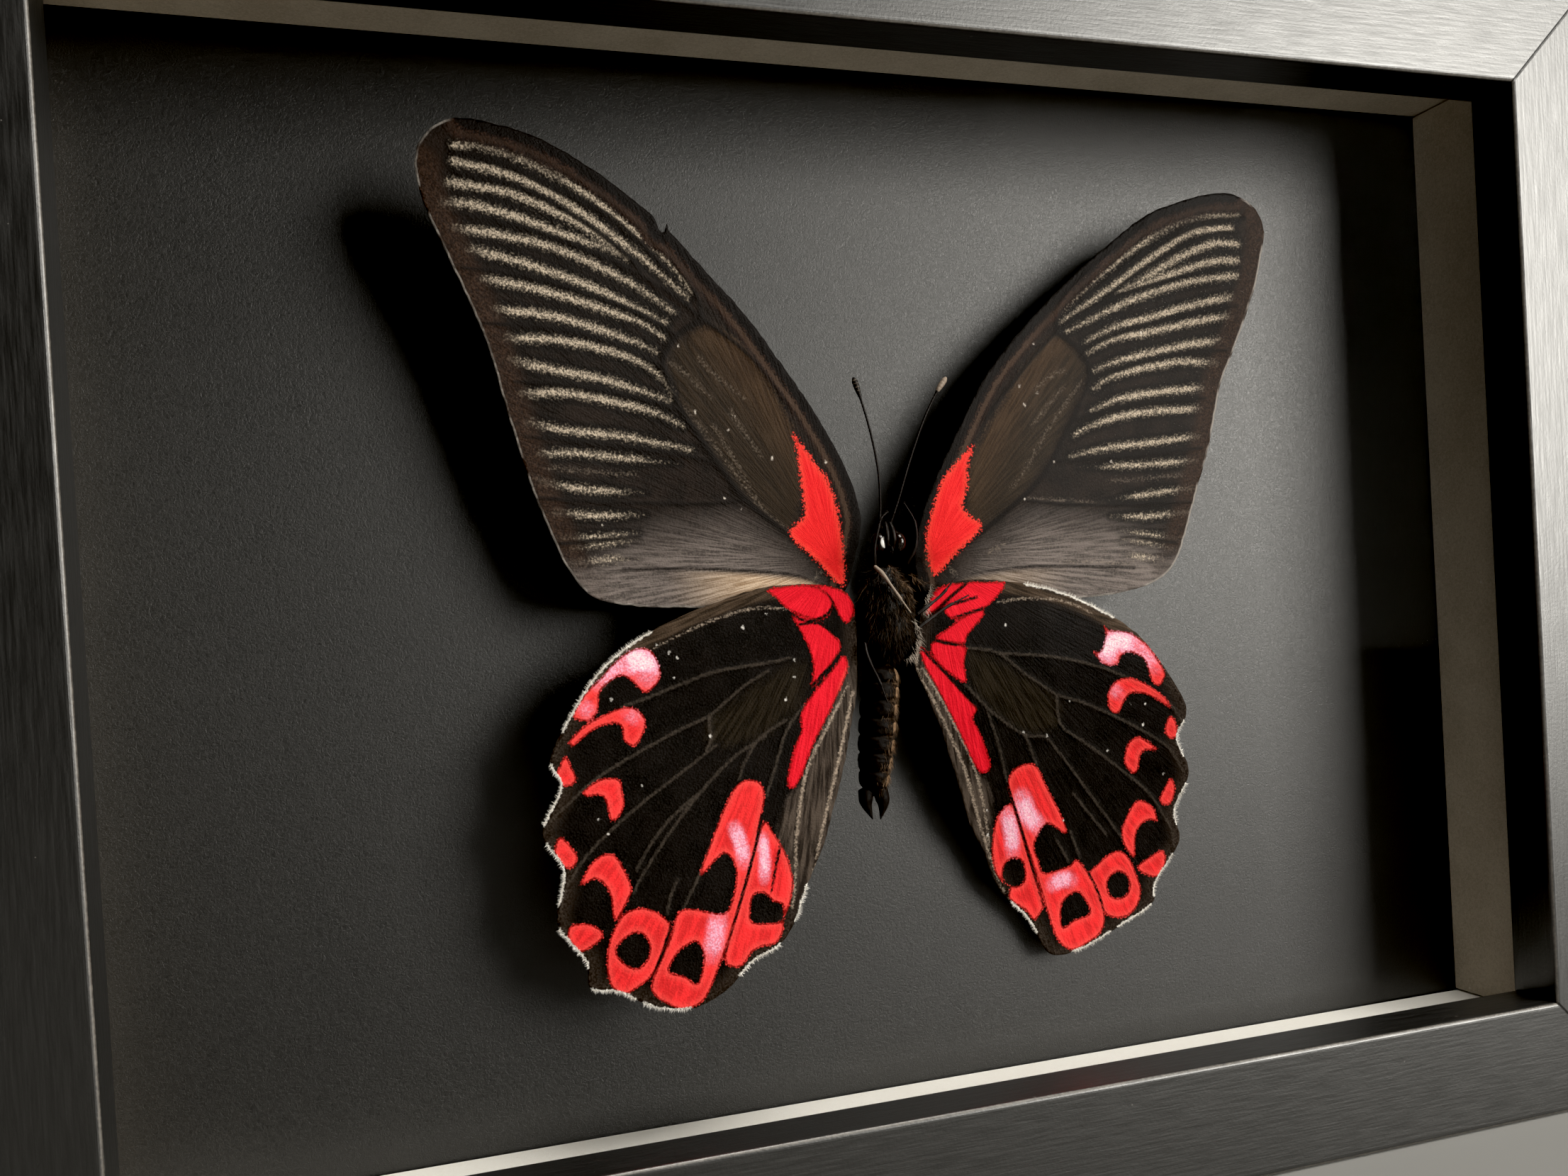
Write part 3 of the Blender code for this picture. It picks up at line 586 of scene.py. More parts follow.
@dataclass(frozen=True)
class HindwingFinish(WingFinish):
    """The hindwing: black, with red crescents, rings and bars, and a lilac and white sheen painted onto the
    red.
    """

    roughness: float = 0.56
    specular: float = 0.06
    ground: Colour = (0.0034, 0.0026, 0.0023)
    fleck: Colour = (0.022, 0.018, 0.015)
    cell: Shades = ((0.0060, 0.0042, 0.0028), (0.021, 0.0155, 0.0100))
    margin: Shades = ((0.0125, 0.0075, 0.0050), (0.046, 0.034, 0.026))
    vein: Colour = (0.048, 0.038, 0.030)
    costa: Shades = ((0.020, 0.013, 0.008), (0.070, 0.047, 0.031))
    fold: Shades = ((0.016, 0.0115, 0.0090), (0.075, 0.057, 0.045))
    piping: Colour = (0.34, 0.27, 0.21)
    red: Colour = (0.86, 0.034, 0.036)
    red_edge: Colour = (0.88, 0.080, 0.070)
    # Lilac and white below are a painted sheen laid over the red marks.
    lilac: Colour = (0.86, 0.40, 0.54)
    white: Colour = (0.93, 0.72, 0.76)
    crimson: Shades = ((0.56, 0.008, 0.017), (0.78, 0.015, 0.030))
    rim: Colour = (0.26, 0.006, 0.006)
    ink: Colour = (0.0045, 0.0032, 0.0028)
    fringe: Colour = (0.80, 0.76, 0.70)
    dot: Colour = (0.70, 0.66, 0.62)

    def paint(self, g: Graph, flecks: Socket, fine: Socket, fan: Socket) -> tuple[Socket, Socket]:
        """Mix the wing's colours and return them with the height of the red marks."""
        reds, painted_sheen = g.layer("red"), g.layer("shine")
        tone = g.mix(g.step(g.noise(g.spot(), 0.4, 3.0), 0.35, 0.65), self.ground, shade(self.ground, 1.8))
        tone = g.mix(g.step(flecks, 0.6, 0.95, 0.0, 0.4), tone, self.fleck)
        tone = g.mix(self.ragged(g, "cell", flecks, 0.8, 0.7), tone, g.mix(fan, *self.cell))
        margin = g.step(g.plus(g.layer("edge"), flecks), 2.6, 1.2, 0.0, 0.85)
        tone = g.mix(margin, tone, g.mix(flecks, *self.margin))
        tone = g.mix(g.times(self.ragged(g, "vein", flecks, 0.12, 0.10), 0.9), tone, self.vein)
        tone = g.mix(g.step(g.layer("costa"), 1.7, 1.1), tone, g.mix(fan, *self.costa))
        tone = g.mix(self.ragged(g, "fold", flecks, 0.3, 0.4), tone, g.mix(fan, *self.fold))
        tone = g.mix(self.ragged(g, "piping", flecks, 0.2, 0.14), tone, self.piping)
        scarlet = g.mix(g.step(g.times(fine, fan), 0.05, 0.45), shade(self.red, 0.72), self.red)
        scarlet = g.mix(g.step(reds, 1.0, 0.0, 0.0, 0.7), scarlet, self.red_edge)
        # Paint the red marks' sheen: lilac where the "shine" layer rises, white at its brightest.
        shine = g.times(painted_sheen, g.step(flecks, 0.0, 0.8, 0.5, 1.1), clamp=True)
        scarlet = g.mix(shine, scarlet, self.lilac)
        scarlet = g.mix(g.step(g.times(painted_sheen, fine), 0.62, 1.15), scarlet, self.white)
        scarlet = g.mix(g.layer("crimson"), scarlet, g.mix(fan, *self.crimson))
        marks = self.ragged(g, "red", flecks, 0.34, 0.09)
        tone = g.mix(marks, tone, scarlet)
        rim = g.times(g.step(reds, -0.12, 0.04), g.step(reds, 0.22, 0.06, 0.0, 0.7))
        tone = g.mix(rim, tone, self.rim)
        tone = g.mix(self.ragged(g, "ink", flecks, 0.1, 0.08), tone, self.ink)
        tone = g.mix(self.ragged(g, "fringe", flecks, 0.16, 0.08), tone, self.fringe)
        tone = g.mix(self.ragged(g, "dots", flecks, 0.1, 0.08), tone, self.dot)
        return tone, g.times(marks, 0.3)


# --------------------------------------------------------------- wing shapes


@dataclass(frozen=True)
class Stroke:
    """A line on a wing: its path, half its width, and how wide its two ends stay."""

    path: Line
    half: float = 0.5
    start: float = 1.0
    end: float = 0.5


@dataclass(frozen=True)
class WingShape:
    """One wing's outline and the places of its marks, as (across, up) in millimetres."""

    name: str
    root: Point
    outline: Line
    costa: tuple[int, int]
    strokes: dict[str, tuple[Stroke, ...]]
    fields: dict[str, tuple[Line, ...]]
    dots: tuple[Point, ...]
    # shine: where a sheen is painted over the hindwing's red marks.
    shine: tuple[Stroke, ...] = ()


def line(text: str) -> Line:
    """Read a line's points, written as across,up or across,depth,up in millimetres."""
    return tuple(tuple(float(part) for part in spot.split(",")) for spot in text.split())


def lines(text: str) -> tuple[Line, ...]:
    """Read several lines, with a semicolon between them."""
    return tuple(line(part) for part in text.split(";"))


def strokes(text: str, half: float = 0.5, start: float = 1.0, end: float = 0.5) -> tuple[Stroke, ...]:
    """Give several lines the same half-width and ends."""
    return tuple(Stroke(path, half, start, end) for path in lines(text))


FORE_LEFT = WingShape(
    name="forewing_left",
    root=(-7.0, 2.0),
    outline=line("""
    -46.5,50 -49.8,49 -51.8,46.2 -51.7,42.5 -50.4,38.5 -48,32.8 -45.8,27.2 -44.7,23 -43.4,17.6 -41.8,11.7
    -40,6.6 -38.2,2.4 -35.5,-0.8 -30.6,-2 -25.3,-2.4 -15,-3 -8.5,-2.8 -5.8,-1.2 -4.6,1.8 -3.6,5.3 -3.5,8
    -5,13.1 -8.3,19.4 -12.5,25.5 -16.4,30.6 -21,35.4 -24.1,38.6 -25,39.5 -25.2,40.3 -25.5,39.3 -26.1,39.5
    -26.6,40.8 -27.7,41.7 -33.1,45.4 -39.5,48.6
    """),
    costa=(17, 35),
    strokes={
        "streak": (
            strokes("""
    -47.8,47 -45,47.2 -40,45.7 -34.7,43.3 -30.1,40 -25.4,36.4 -22.6,33; -48,45.4 -42.8,44.5 -38.1,42.8
    -32.9,39.7 -27.8,36.1 -23.1,32.3; -48.7,43.2 -43,42.6 -38.6,41.2 -34.1,39.1 -29.9,36.2; -49.4,41
    -46.8,41.1 -41.3,39.9 -36.4,38.4 -31.8,37.1 -29.9,36.2; -48.4,38.5 -42.6,37.9 -38,37 -32.7,35.1 -28.4,33
    -24.8,30.7; -46.9,36.4 -41.2,35.2 -35.1,33.4 -30.1,31.5 -25.7,29.5; -45.8,33.4 -40.9,32.7 -35.2,31.4
    -30.5,30 -28.5,29.4 -25.9,27.7; -44.5,30.2 -38.4,29.7 -33,28.4 -28.6,27 -27,26.2; -43.5,27.2 -38.5,27.2
    -33.1,26.4 -28.7,25 -26.1,23 -25.4,21.7; -43.2,24.9 -38.7,24 -33.2,23.1 -28.9,21.9 -25.7,20.9;
    -42.3,21.4 -37.3,21.5 -31.8,20.6 -27.4,19.5 -24.4,18.1
            """)
            + strokes("-41.7,18.3 -37.5,17.5 -32,17 -27.1,16.1 -23.5,15.3", half=0.45)
            + strokes("""
    -40.6,15 -36,15 -31.3,14.5 -24.8,13.8; -41.1,12.3 -39.4,11.6 -33.9,10.9 -28.7,10.6
            """, half=0.42, end=-0.4)
            + strokes("-39.4,8.6 -34.8,8.2 -29.2,8.2", half=0.42, end=0)
            + strokes("-39.1,5.8 -34.2,5.9 -30.1,6.2; -37.8,4.6 -33.4,5.1 -30.2,5.4", half=0.28, end=0)
            + strokes("-37.9,3 -33.5,3.3 -30.3,3.2", half=0.38, end=-0.4)
        ),
        "vein": (
            strokes("""
    -36.1,45.1 -30,41.2 -24.6,36.1 -22.2,32.7 -21.4,30; -48.1,44.2 -40.8,42.9 -34.8,40 -30.2,36.8
    -28.3,34.8; -48.3,40 -41,38.9 -31.8,36 -25.5,32.9 -21.4,30 -15.8,25.8 -10.6,19.5; -47.9,34.4 -41.3,33.8
    -35.2,32.4 -28.9,30.4 -24.5,28.1; -46,28.7 -38.5,28.4 -32.3,27.1 -26.3,24.6; -43,22.6 -37.2,22.4
    -29.3,21.1 -24.6,19.7; -42.2,16.8 -36,16.3 -29.6,15.5 -20.8,14; -41.8,10.3 -36.3,9.8 -29.9,9.5 -21.8,9.2
    -17.5,9.5
            """, half=0.24, start=0.7, end=0.9)
            + strokes("""
    -48,46.3 -42.2,45.2 -37.4,43.1 -31.6,40.6 -27,36.8 -25.1,34.6; -21.4,30 -24.5,28.1 -26.2,25.6 -26.1,24
    -24.6,19.9; -24.6,19.9 -21,14.5 -17.5,9.6 -12.2,5.1 -6.2,-1
            """, half=0.34)
            + strokes("-39,5.2 -35,5.4 -29.8,5.8; -32,2.2 -22.2,1.8 -12.9,0.9 -9.5,-0.2 -6.5,-1.4", half=0.2)
        ),
        "rays": strokes("""
    -25.5,25.2 -23.9,24.1 -20.7,21.2; -22.1,25.7 -20.5,24.1 -16.9,21.2; -23.8,20.1 -19.8,14.5 -15.5,8.7
    -12.6,6; -18.6,19.7 -17.1,17.3 -15.1,14.4; -20.8,18.1 -18.9,14.9 -16.6,10.8; -46.6,48.4 -40,46.9
    -33.6,44.2 -28,40.2 -23.4,35.9; -40.8,13.6 -35,13 -30,12.7; -9.6,0.2 -8.2,1.7
            """, half=0.14),
    },
    fields={
        "cell": lines("""
    -20.7,29.1 -24.1,27.6 -25.4,25.6 -25.3,23.3 -24,20.1 -20.6,14.9 -17.5,10.4 -12.6,6 -11.5,7.4 -10.6,11.5
    -11.1,16.9 -13,21.4 -16.6,27
        """),
        "red": lines("""
    -11.1,17.1 -8.8,13.9 -7.4,11.9 -6.5,9.4 -6,6.4 -5.8,3.5 -6.1,-0.8 -9.4,2.4 -12.4,5.6 -10.5,7.6
    -10.6,11.3 -10.8,14.6
        """),
        "glow": lines("-34,0.6 -28,1.7 -22.2,1.5 -13,0.4 -9.4,-0.6 -8.4,-2 -15,-2.8 -25.3,-2.3 -33,-1.6"),
        "haze": lines("-41.5,5.6 -41.5,-8 -26,-9 -7,-8 -9.4,1 -13.8,5.4 -18.2,8.2 -24,7.8 -31,6.8 -37,5"),
    },
    dots=line("-7.4,13.8 -19.9,9.8 -18,8.5 -13.9,14.3 -19,17.6 -18.2,19.1 -22.8,19.6 -24.4,27 -34.1,7.1"),
)

FORE_RIGHT = WingShape(
    name="forewing_right",
    root=(5.0, 2.0),
    outline=line("""
    53,42.3 51.7,45.1 48.4,46.6 44.3,46.3 40.3,45.2 35.9,43.5 30.6,39.8 25.3,35.6 19.6,30.3 14.1,24.2
    9.9,17.5 6.1,10.8 4.2,6.4 3.2,2 3.8,-1.5 7,-3.2 15,-3.7 26.5,-3.6 31.1,-3.2 35.9,-2 38.8,0.4 40.7,4.9
    42.3,9.9 43.6,13.6 44.9,18.4 45.9,22.5 47.6,26.3 49.3,30.3 51.3,35.2 52.7,40
    """),
    costa=(2, 14),
    strokes={
        "streak": (
            strokes("""
    49.1,43.9 44.4,43.7 40.8,43 34.7,39.8 29.8,36.4 24.5,32.1; 47.9,42.3 44.3,41.9 41.4,41.2 35.7,37.8
    30.7,34.5 24,30.4; 48.9,40.3 45.3,40.2 40.1,38.3 35.1,35.6 31.7,34; 48.8,38.2 45.2,38 39.1,36.3
    32.7,34.2; 48.7,36.3 42.1,35.5 36.1,33.9 31.7,32.3 24.9,29.3; 47.6,33.6 42,32.5 36.1,31 31.2,29.8
    27.3,28; 47.2,31.2 41.5,30.3 35.5,29.1 31.1,28.3 27.3,26.5; 45.9,28.2 40.9,27.5 35.5,26.5 31.6,25.6
    28.4,24.5; 45.4,25.3 40.4,25.5 35,24.7 30.6,23.6 28.4,22.2; 43.3,22.2 37.8,21.8 32,21 28,19.6; 42.7,19.6
    35.8,19.3 31.9,18.8 27,17.4 25.5,16.5
            """)
            + strokes("42.6,16.1 35.7,15.4 29.8,14.9 24.9,13.9", half=0.45)
            + strokes("42,13 33.6,12.7 25.8,12.6; 41.4,9.5 35.4,9 30,8.4", half=0.42, end=-0.4)
            + strokes("41.2,6.6 35.3,6.2 30.1,6.4", half=0.42, end=0)
            + strokes("39.6,3.2 34.2,4.1 31.3,4.4; 38.5,2.1 34.2,3 31.7,3.3", half=0.28, end=0)
            + strokes("37,0.6 33.6,1.2 31.1,1.5", half=0.38, end=-0.4)
        ),
        "vein": (
            strokes("""
    36.2,42.6 30.3,38.4 25,33.8 23.7,31.7 23.3,29.3; 49.5,41.8 45.3,41.4 39.7,39.2 34.2,36.2 30.4,33.5;
    49.3,37.4 42.1,36.3 34.1,34.3 27.3,31.7 23.3,29.1 18.6,24.4 13.4,18.6; 48.6,32.5 42,31.5 34.1,29.7
    28.7,27.9 26.8,26.9; 46.9,26.9 40.9,26.5 35,25.5 27.9,23.4; 43.7,20.9 35.9,20.5 29,19.3 25.8,18.5;
    43,14.6 32.7,13.9 22.9,13.4; 41.3,7.8 30.5,7.8 23.6,8.1 18.2,8.7
            """, half=0.24, start=0.7, end=0.9)
            + strokes("""
    50.1,43.6 43.3,42.5 37.2,39.8 30.3,35.4 26.9,33.2; 23.5,29.1 26.8,26.8 27.8,24.6 27.5,22.6 26.3,20.3;
    26.3,20.3 24.1,16.5 20.9,11.6 15.7,7.4 8.8,2.6 5.6,-0.1
            """, half=0.34)
            + strokes("39,2.7 34.2,3.5 31.3,3.8; 33,-0.2 25.1,0.3 19.2,0.5 15.3,0.4 10.5,0", half=0.2)
        ),
        "rays": strokes("""
    17.8,8.8 23.6,8.5 29.5,7.9; 22.7,0.9 27.1,0.7 33,0.3; 26.7,23.1 22.7,18.3 18.5,12.3 16.4,10.1; 24.3,24.6
    22.4,23.7 20.4,22.4; 24.3,22.6 22.3,20.5 19.8,17.9; 47,45.2 41,44.4 34.5,41 29,37.4 24.4,33.2; 41.8,11.4
    36,11 30,10.8; 7.7,0.9 8.8,-0.6; 13,2.4 15.3,3.6
            """, half=0.14),
    },
    fields={
        "cell": lines("""
    23.5,28.7 26.3,26.5 27.2,24.4 26.2,21.3 24.1,17.9 22,14 17.8,9.2 12.8,5.7 10.6,7.2 11.1,12.8 12.9,16.2
    16.6,21.4 20.1,26.1
        """),
        "red": lines("""
    11.7,15.4 10.9,13.2 10.6,10.2 9.9,8.4 10.6,7.1 12.3,5.6 8.8,2.6 5.6,0 4.8,3.6 5.2,6.1 7.1,10.9 8.7,12.8
    10.3,14.5
        """),
        "glow": lines("34,-1.2 28,-0.2 19.2,0.2 11,-0.6 8,-1.8 9,-3.2 15,-3.6 26.5,-3.5 32.6,-2.8"),
        "haze": lines("41.8,4 42,-9 26,-10 6,-9 8.8,0.4 13.8,4.8 19,7.6 26,7.2 33,6.2 38,3.8"),
    },
    dots=line("18.3,22.7 20.7,21.8 20.3,27.8 18.9,20.4 22.6,13.3 18.3,8.8 35,29.1 30.5,13.2"),
)

HIND_LEFT = WingShape(
    name="hindwing_left",
    root=(-7.0, 2.0),
    outline=line("""
    -5.1,-4.8 -5.8,-1.9 -8,-0.7 -12.8,-0.4 -16.7,-0.7 -21.1,-1.8 -25.3,-3.1 -29.6,-4.9 -33.1,-6.9 -36.4,-9.8
    -39.5,-14.2 -41.6,-18.3 -40.6,-21.2 -42.9,-26 -40.9,-30.2 -41.9,-35.8 -39.1,-40.2 -38.7,-43.3
    -35.6,-44.1 -31.8,-46.3 -27.5,-47 -23.7,-45.6 -20.2,-42.7 -17.2,-41.4 -14.9,-38.8 -13.2,-34.9 -11,-30.7
    -9.4,-26.4 -7.8,-21.7 -6.5,-16.9 -5.5,-12.5
    """),
    costa=(3, 9),
    strokes={
        "vein": strokes("""
    -13.4,-8.8 -16.4,-9.2 -22.4,-9.8 -27,-11.1 -31.1,-12.4 -33.5,-13; -16.1,-10 -19.6,-11.9 -23.3,-14.6
    -26.9,-16 -31.5,-18 -36.8,-20.7 -42.1,-24.8; -23.3,-14.6 -23.6,-15.9 -23.4,-17.1 -24,-18.5; -22.9,-18.1
    -27.6,-21.1 -31,-23.2 -34.8,-25.9 -38.1,-28.7 -40.6,-31.9 -41.5,-34.4; -17,-17.5 -20.9,-19.6 -24.9,-23
    -28.9,-27.3 -32.3,-31.7 -33.4,-33.6; -25.3,-23.2 -29,-26 -31.6,-29 -32.9,-31.1; -14.3,-15.8 -17.7,-17.7
    -19.9,-20.6 -20.5,-22.2; -12.1,-14.3 -14.4,-17 -15.9,-20.6 -17.5,-24.5; -24.2,-29 -25.9,-32.4 -28,-35.9;
    -28.4,-32.5 -29.3,-34.4 -29.8,-36.3
            """, half=0.17, start=0.9, end=0.9),
        "piping": (
            strokes("""
    -6.5,-12.3 -9.7,-17.4 -12.4,-22.1 -14,-28.4 -14.7,-34.9 -15.2,-37.2; -6,-13.1 -8.2,-20.4 -10.6,-27.6
    -12.5,-33.9
            """, half=0.16, start=0.7)
            + strokes("-12.4,-3.3 -17,-2.9 -22,-3.9 -27.4,-5.9 -30.6,-7.4", half=0.08, start=0.7)
        ),
        "ink": strokes("""
    -29.5,-37.7 -30.6,-40.5 -32,-43.2; -18.1,-26.4 -19.1,-29.9 -20.5,-33.8 -23.4,-41.4; -16.2,-30.2 -17,-33
    -17.6,-35.5; -12.8,-3.9 -11,-4.7 -8.7,-4.1 -7.7,-2.7 -8.7,-1.3; -11.5,-12.6 -9.7,-11 -7.6,-9.3; -12,-5
    -9.6,-5 -7.4,-6.6 -6.4,-5
            """, half=0.2),
        "fringe": strokes("""
    -30.4,-4.9 -32.7,-6 -34.4,-7.2 -36,-8.5 -37.3,-10; -38.1,-11.7 -39,-13 -39.9,-14.3; -41.6,-19.5
    -40.9,-20.6 -41.1,-22 -42.6,-24.2; -42.6,-28 -41.6,-29.6 -41,-31 -41.7,-33; -41.6,-37.4 -40.6,-38.7
    -39.6,-40.6; -37.8,-43.5 -36.3,-43.8 -34.8,-44.9; -32.1,-46 -30.6,-46 -28.8,-47; -21.6,-43.2 -20.4,-42.4
    -19.3,-41.8 -17.8,-41.5; -14.6,-38 -13.6,-35.6
            """, half=0.26, end=0.8),
    },
    fields={
        "red": lines("""
    -31.7,-6.8 -30.6,-6.7 -29.6,-7.2 -28.9,-8.9 -28.9,-10.1 -29.6,-11 -30.7,-11.6 -31.6,-10.7 -32.9,-9.6
    -34,-9.8 -35.7,-11.1 -36.1,-13.2 -37.1,-14.2 -38.8,-13.6 -37.4,-11.4 -35.7,-9.9 -34.3,-8.5 -32.9,-7.4;
    -39.5,-16.5 -37.6,-14.8 -35.2,-13.7 -33.1,-13.1 -31.8,-13.4 -30.9,-14.4 -31,-15.7 -32.2,-17.4
    -33.4,-16.6 -33.4,-15.4 -34.2,-14.7 -36.4,-15.1 -38.5,-16.5 -39,-16.9; -39.9,-17.9 -39.3,-19.3
    -38.9,-20.4 -39.5,-21.1 -40.7,-21 -41.2,-20.1 -40.7,-19.2; -38.3,-21.9 -36.4,-20.8 -35.2,-20.7 -34.1,-21
    -33.9,-22.4 -33.8,-23.7 -34.4,-24.9 -35.3,-25.3 -35.8,-23.1 -36.4,-22.4 -38,-22.4; -41,-26.5 -40,-27.6
    -39.3,-28.8 -39.6,-29.7 -40.5,-30 -41.7,-28.4 -41.5,-27.3; -39.2,-31.9 -37.9,-29.9 -36.7,-29 -35.6,-29
    -34.8,-29.7 -33.6,-32.7 -34,-34 -35.6,-36.2 -35.9,-33.4 -36.5,-32.2 -37.3,-31.4 -38.2,-31.6; -40.4,-36.2
    -38.4,-36.3 -37.1,-37.3 -37.3,-38.1 -39.5,-39.2 -40.4,-38.5 -40.8,-37.4; -34.6,-35.7 -33.6,-35.3
    -32.3,-35.3 -30.9,-35.9 -29.9,-36.9 -29.5,-37.9 -30.8,-40.8 -31.9,-42.7 -33.3,-43.7 -35.1,-44.4
    -36.2,-43.6 -36.7,-42.3 -36.7,-40.2 -36.3,-38.4 -35.5,-36.8; -18.5,-22.5 -19.7,-22.3 -20.9,-22.9
    -22.1,-24.6 -24.1,-28.6 -25.8,-32.4 -23.8,-30.8 -22.7,-30.2 -21.9,-31 -21.5,-32.5 -21.9,-34.8
    -22.8,-36.7 -24,-36.9 -28.1,-36 -29.6,-39 -31.9,-43.4 -31.8,-44.8 -30.9,-45.7 -29.1,-46.8 -27.4,-46.8
    -26,-46 -24.2,-42.7 -22.1,-37.8 -19.5,-31.3 -18.5,-27.6 -17.7,-24.7 -17.8,-23.2; -17.8,-27.2 -16.9,-28.6
    -15.8,-30.5 -15.2,-32.4 -14.9,-34.4 -15.5,-36.8 -16.3,-38.4 -16.5,-39.7 -17.4,-41 -19.3,-41.2
    -20.5,-41.8 -21.5,-43 -22.7,-43 -23.5,-41.8 -21.5,-36.5 -20.2,-33.3 -19,-29.7; -15.7,-0.9 -13.7,-0.6
    -10.7,-0.6 -8.7,-1.5 -7.9,-2.7 -8.3,-4 -9.7,-4.6 -11.6,-4 -13.6,-3 -14.7,-1.8; -10.6,-0.5 -8.2,-0.8
    -6.2,-1.6 -5.4,-2.8 -5.3,-4.1 -6.4,-5.2 -7.7,-2.9 -8.7,-1.5; -12.9,-3.9 -11.4,-4.1 -9.4,-5.1 -7.9,-6.6
    -7.2,-8 -9.4,-10.7 -11.1,-12.4 -10.7,-10.3 -11.1,-7.8 -12.3,-5.1; -6.9,-8.9 -6.5,-10.6 -8.9,-15
    -11.3,-18.9 -13.3,-22.8 -14.3,-23.7 -14.8,-22.9 -13.6,-19.1 -12.6,-17.2 -12.4,-14.9 -9.5,-11.6 -8,-10.1
        """),
        "hole": lines("""
    -34.8,-38.4 -33.9,-37.9 -32.8,-37.9 -32.1,-38.8 -31.9,-39.9 -32.4,-41.1 -33.4,-41.8 -34.5,-41.4
    -35.5,-40.3 -35.7,-39.3; -26.8,-39.6 -26.1,-40.4 -25.9,-41.9 -26.8,-44.4 -28.2,-43.4 -30,-42.6
    -29.5,-41.4 -28.5,-40.3; -19.7,-35.3 -18.4,-35.2 -17.3,-36.3 -16.3,-36.7 -16.3,-37.6 -16.6,-38.7
    -20,-38.4 -20.2,-36.9
        """),
        "crimson": lines("-16,0 -5,0 -5,-9 -7,-11 -12.4,-24 -15.4,-24 -13,-14 -13.5,-4"),
        "fold": lines("""
    -6.6,-9.6 -9.9,-16.2 -13,-22.8 -15,-25 -16.4,-30 -14.6,-38.4 -12.8,-35.4 -9,-26.4 -6.1,-16.9 -5.2,-12
        """),
        "cell": lines("-12.4,-9.2 -22.9,-14.8 -23.4,-18 -17,-17.4 -12.6,-14"),
    },
    dots=line("""
    -34.5,-12.1 -36.7,-25.1 -35.8,-26.8 -23.5,-17 -27.3,-10.2 -29,-6.4 -27.7,-7.4 -26.8,-8 -16,-3.6 -18.9,-5
    -13,-9.1 -13.1,-11 -14.3,-13.5 -31.7,-21.8
    """),
    shine=(
        strokes("-35.9,-10.1 -34,-8.7 -32.2,-8", half=1.4)
        + strokes("-32.6,-8.2 -31.2,-8 -30.2,-8.8 -30.3,-9.6", half=2, start=2)
        + strokes("-21.4,-27.5 -20.8,-29.4 -20.5,-31.6", half=1.1, start=1.3)
        + strokes("-18.2,-28.9 -18.1,-31.5 -18.3,-33.7", half=0.9, start=1.5)
        + strokes("-24,-37.4 -24.5,-39.6 -25,-41.4", half=1.5, start=1.1)
        + strokes("-37.8,-12.4 -36.8,-13.6", half=1.2, start=0.5)
        + strokes("-32.8,-13.7 -31.4,-14.6", half=1.2, start=0.4)
    ),
)

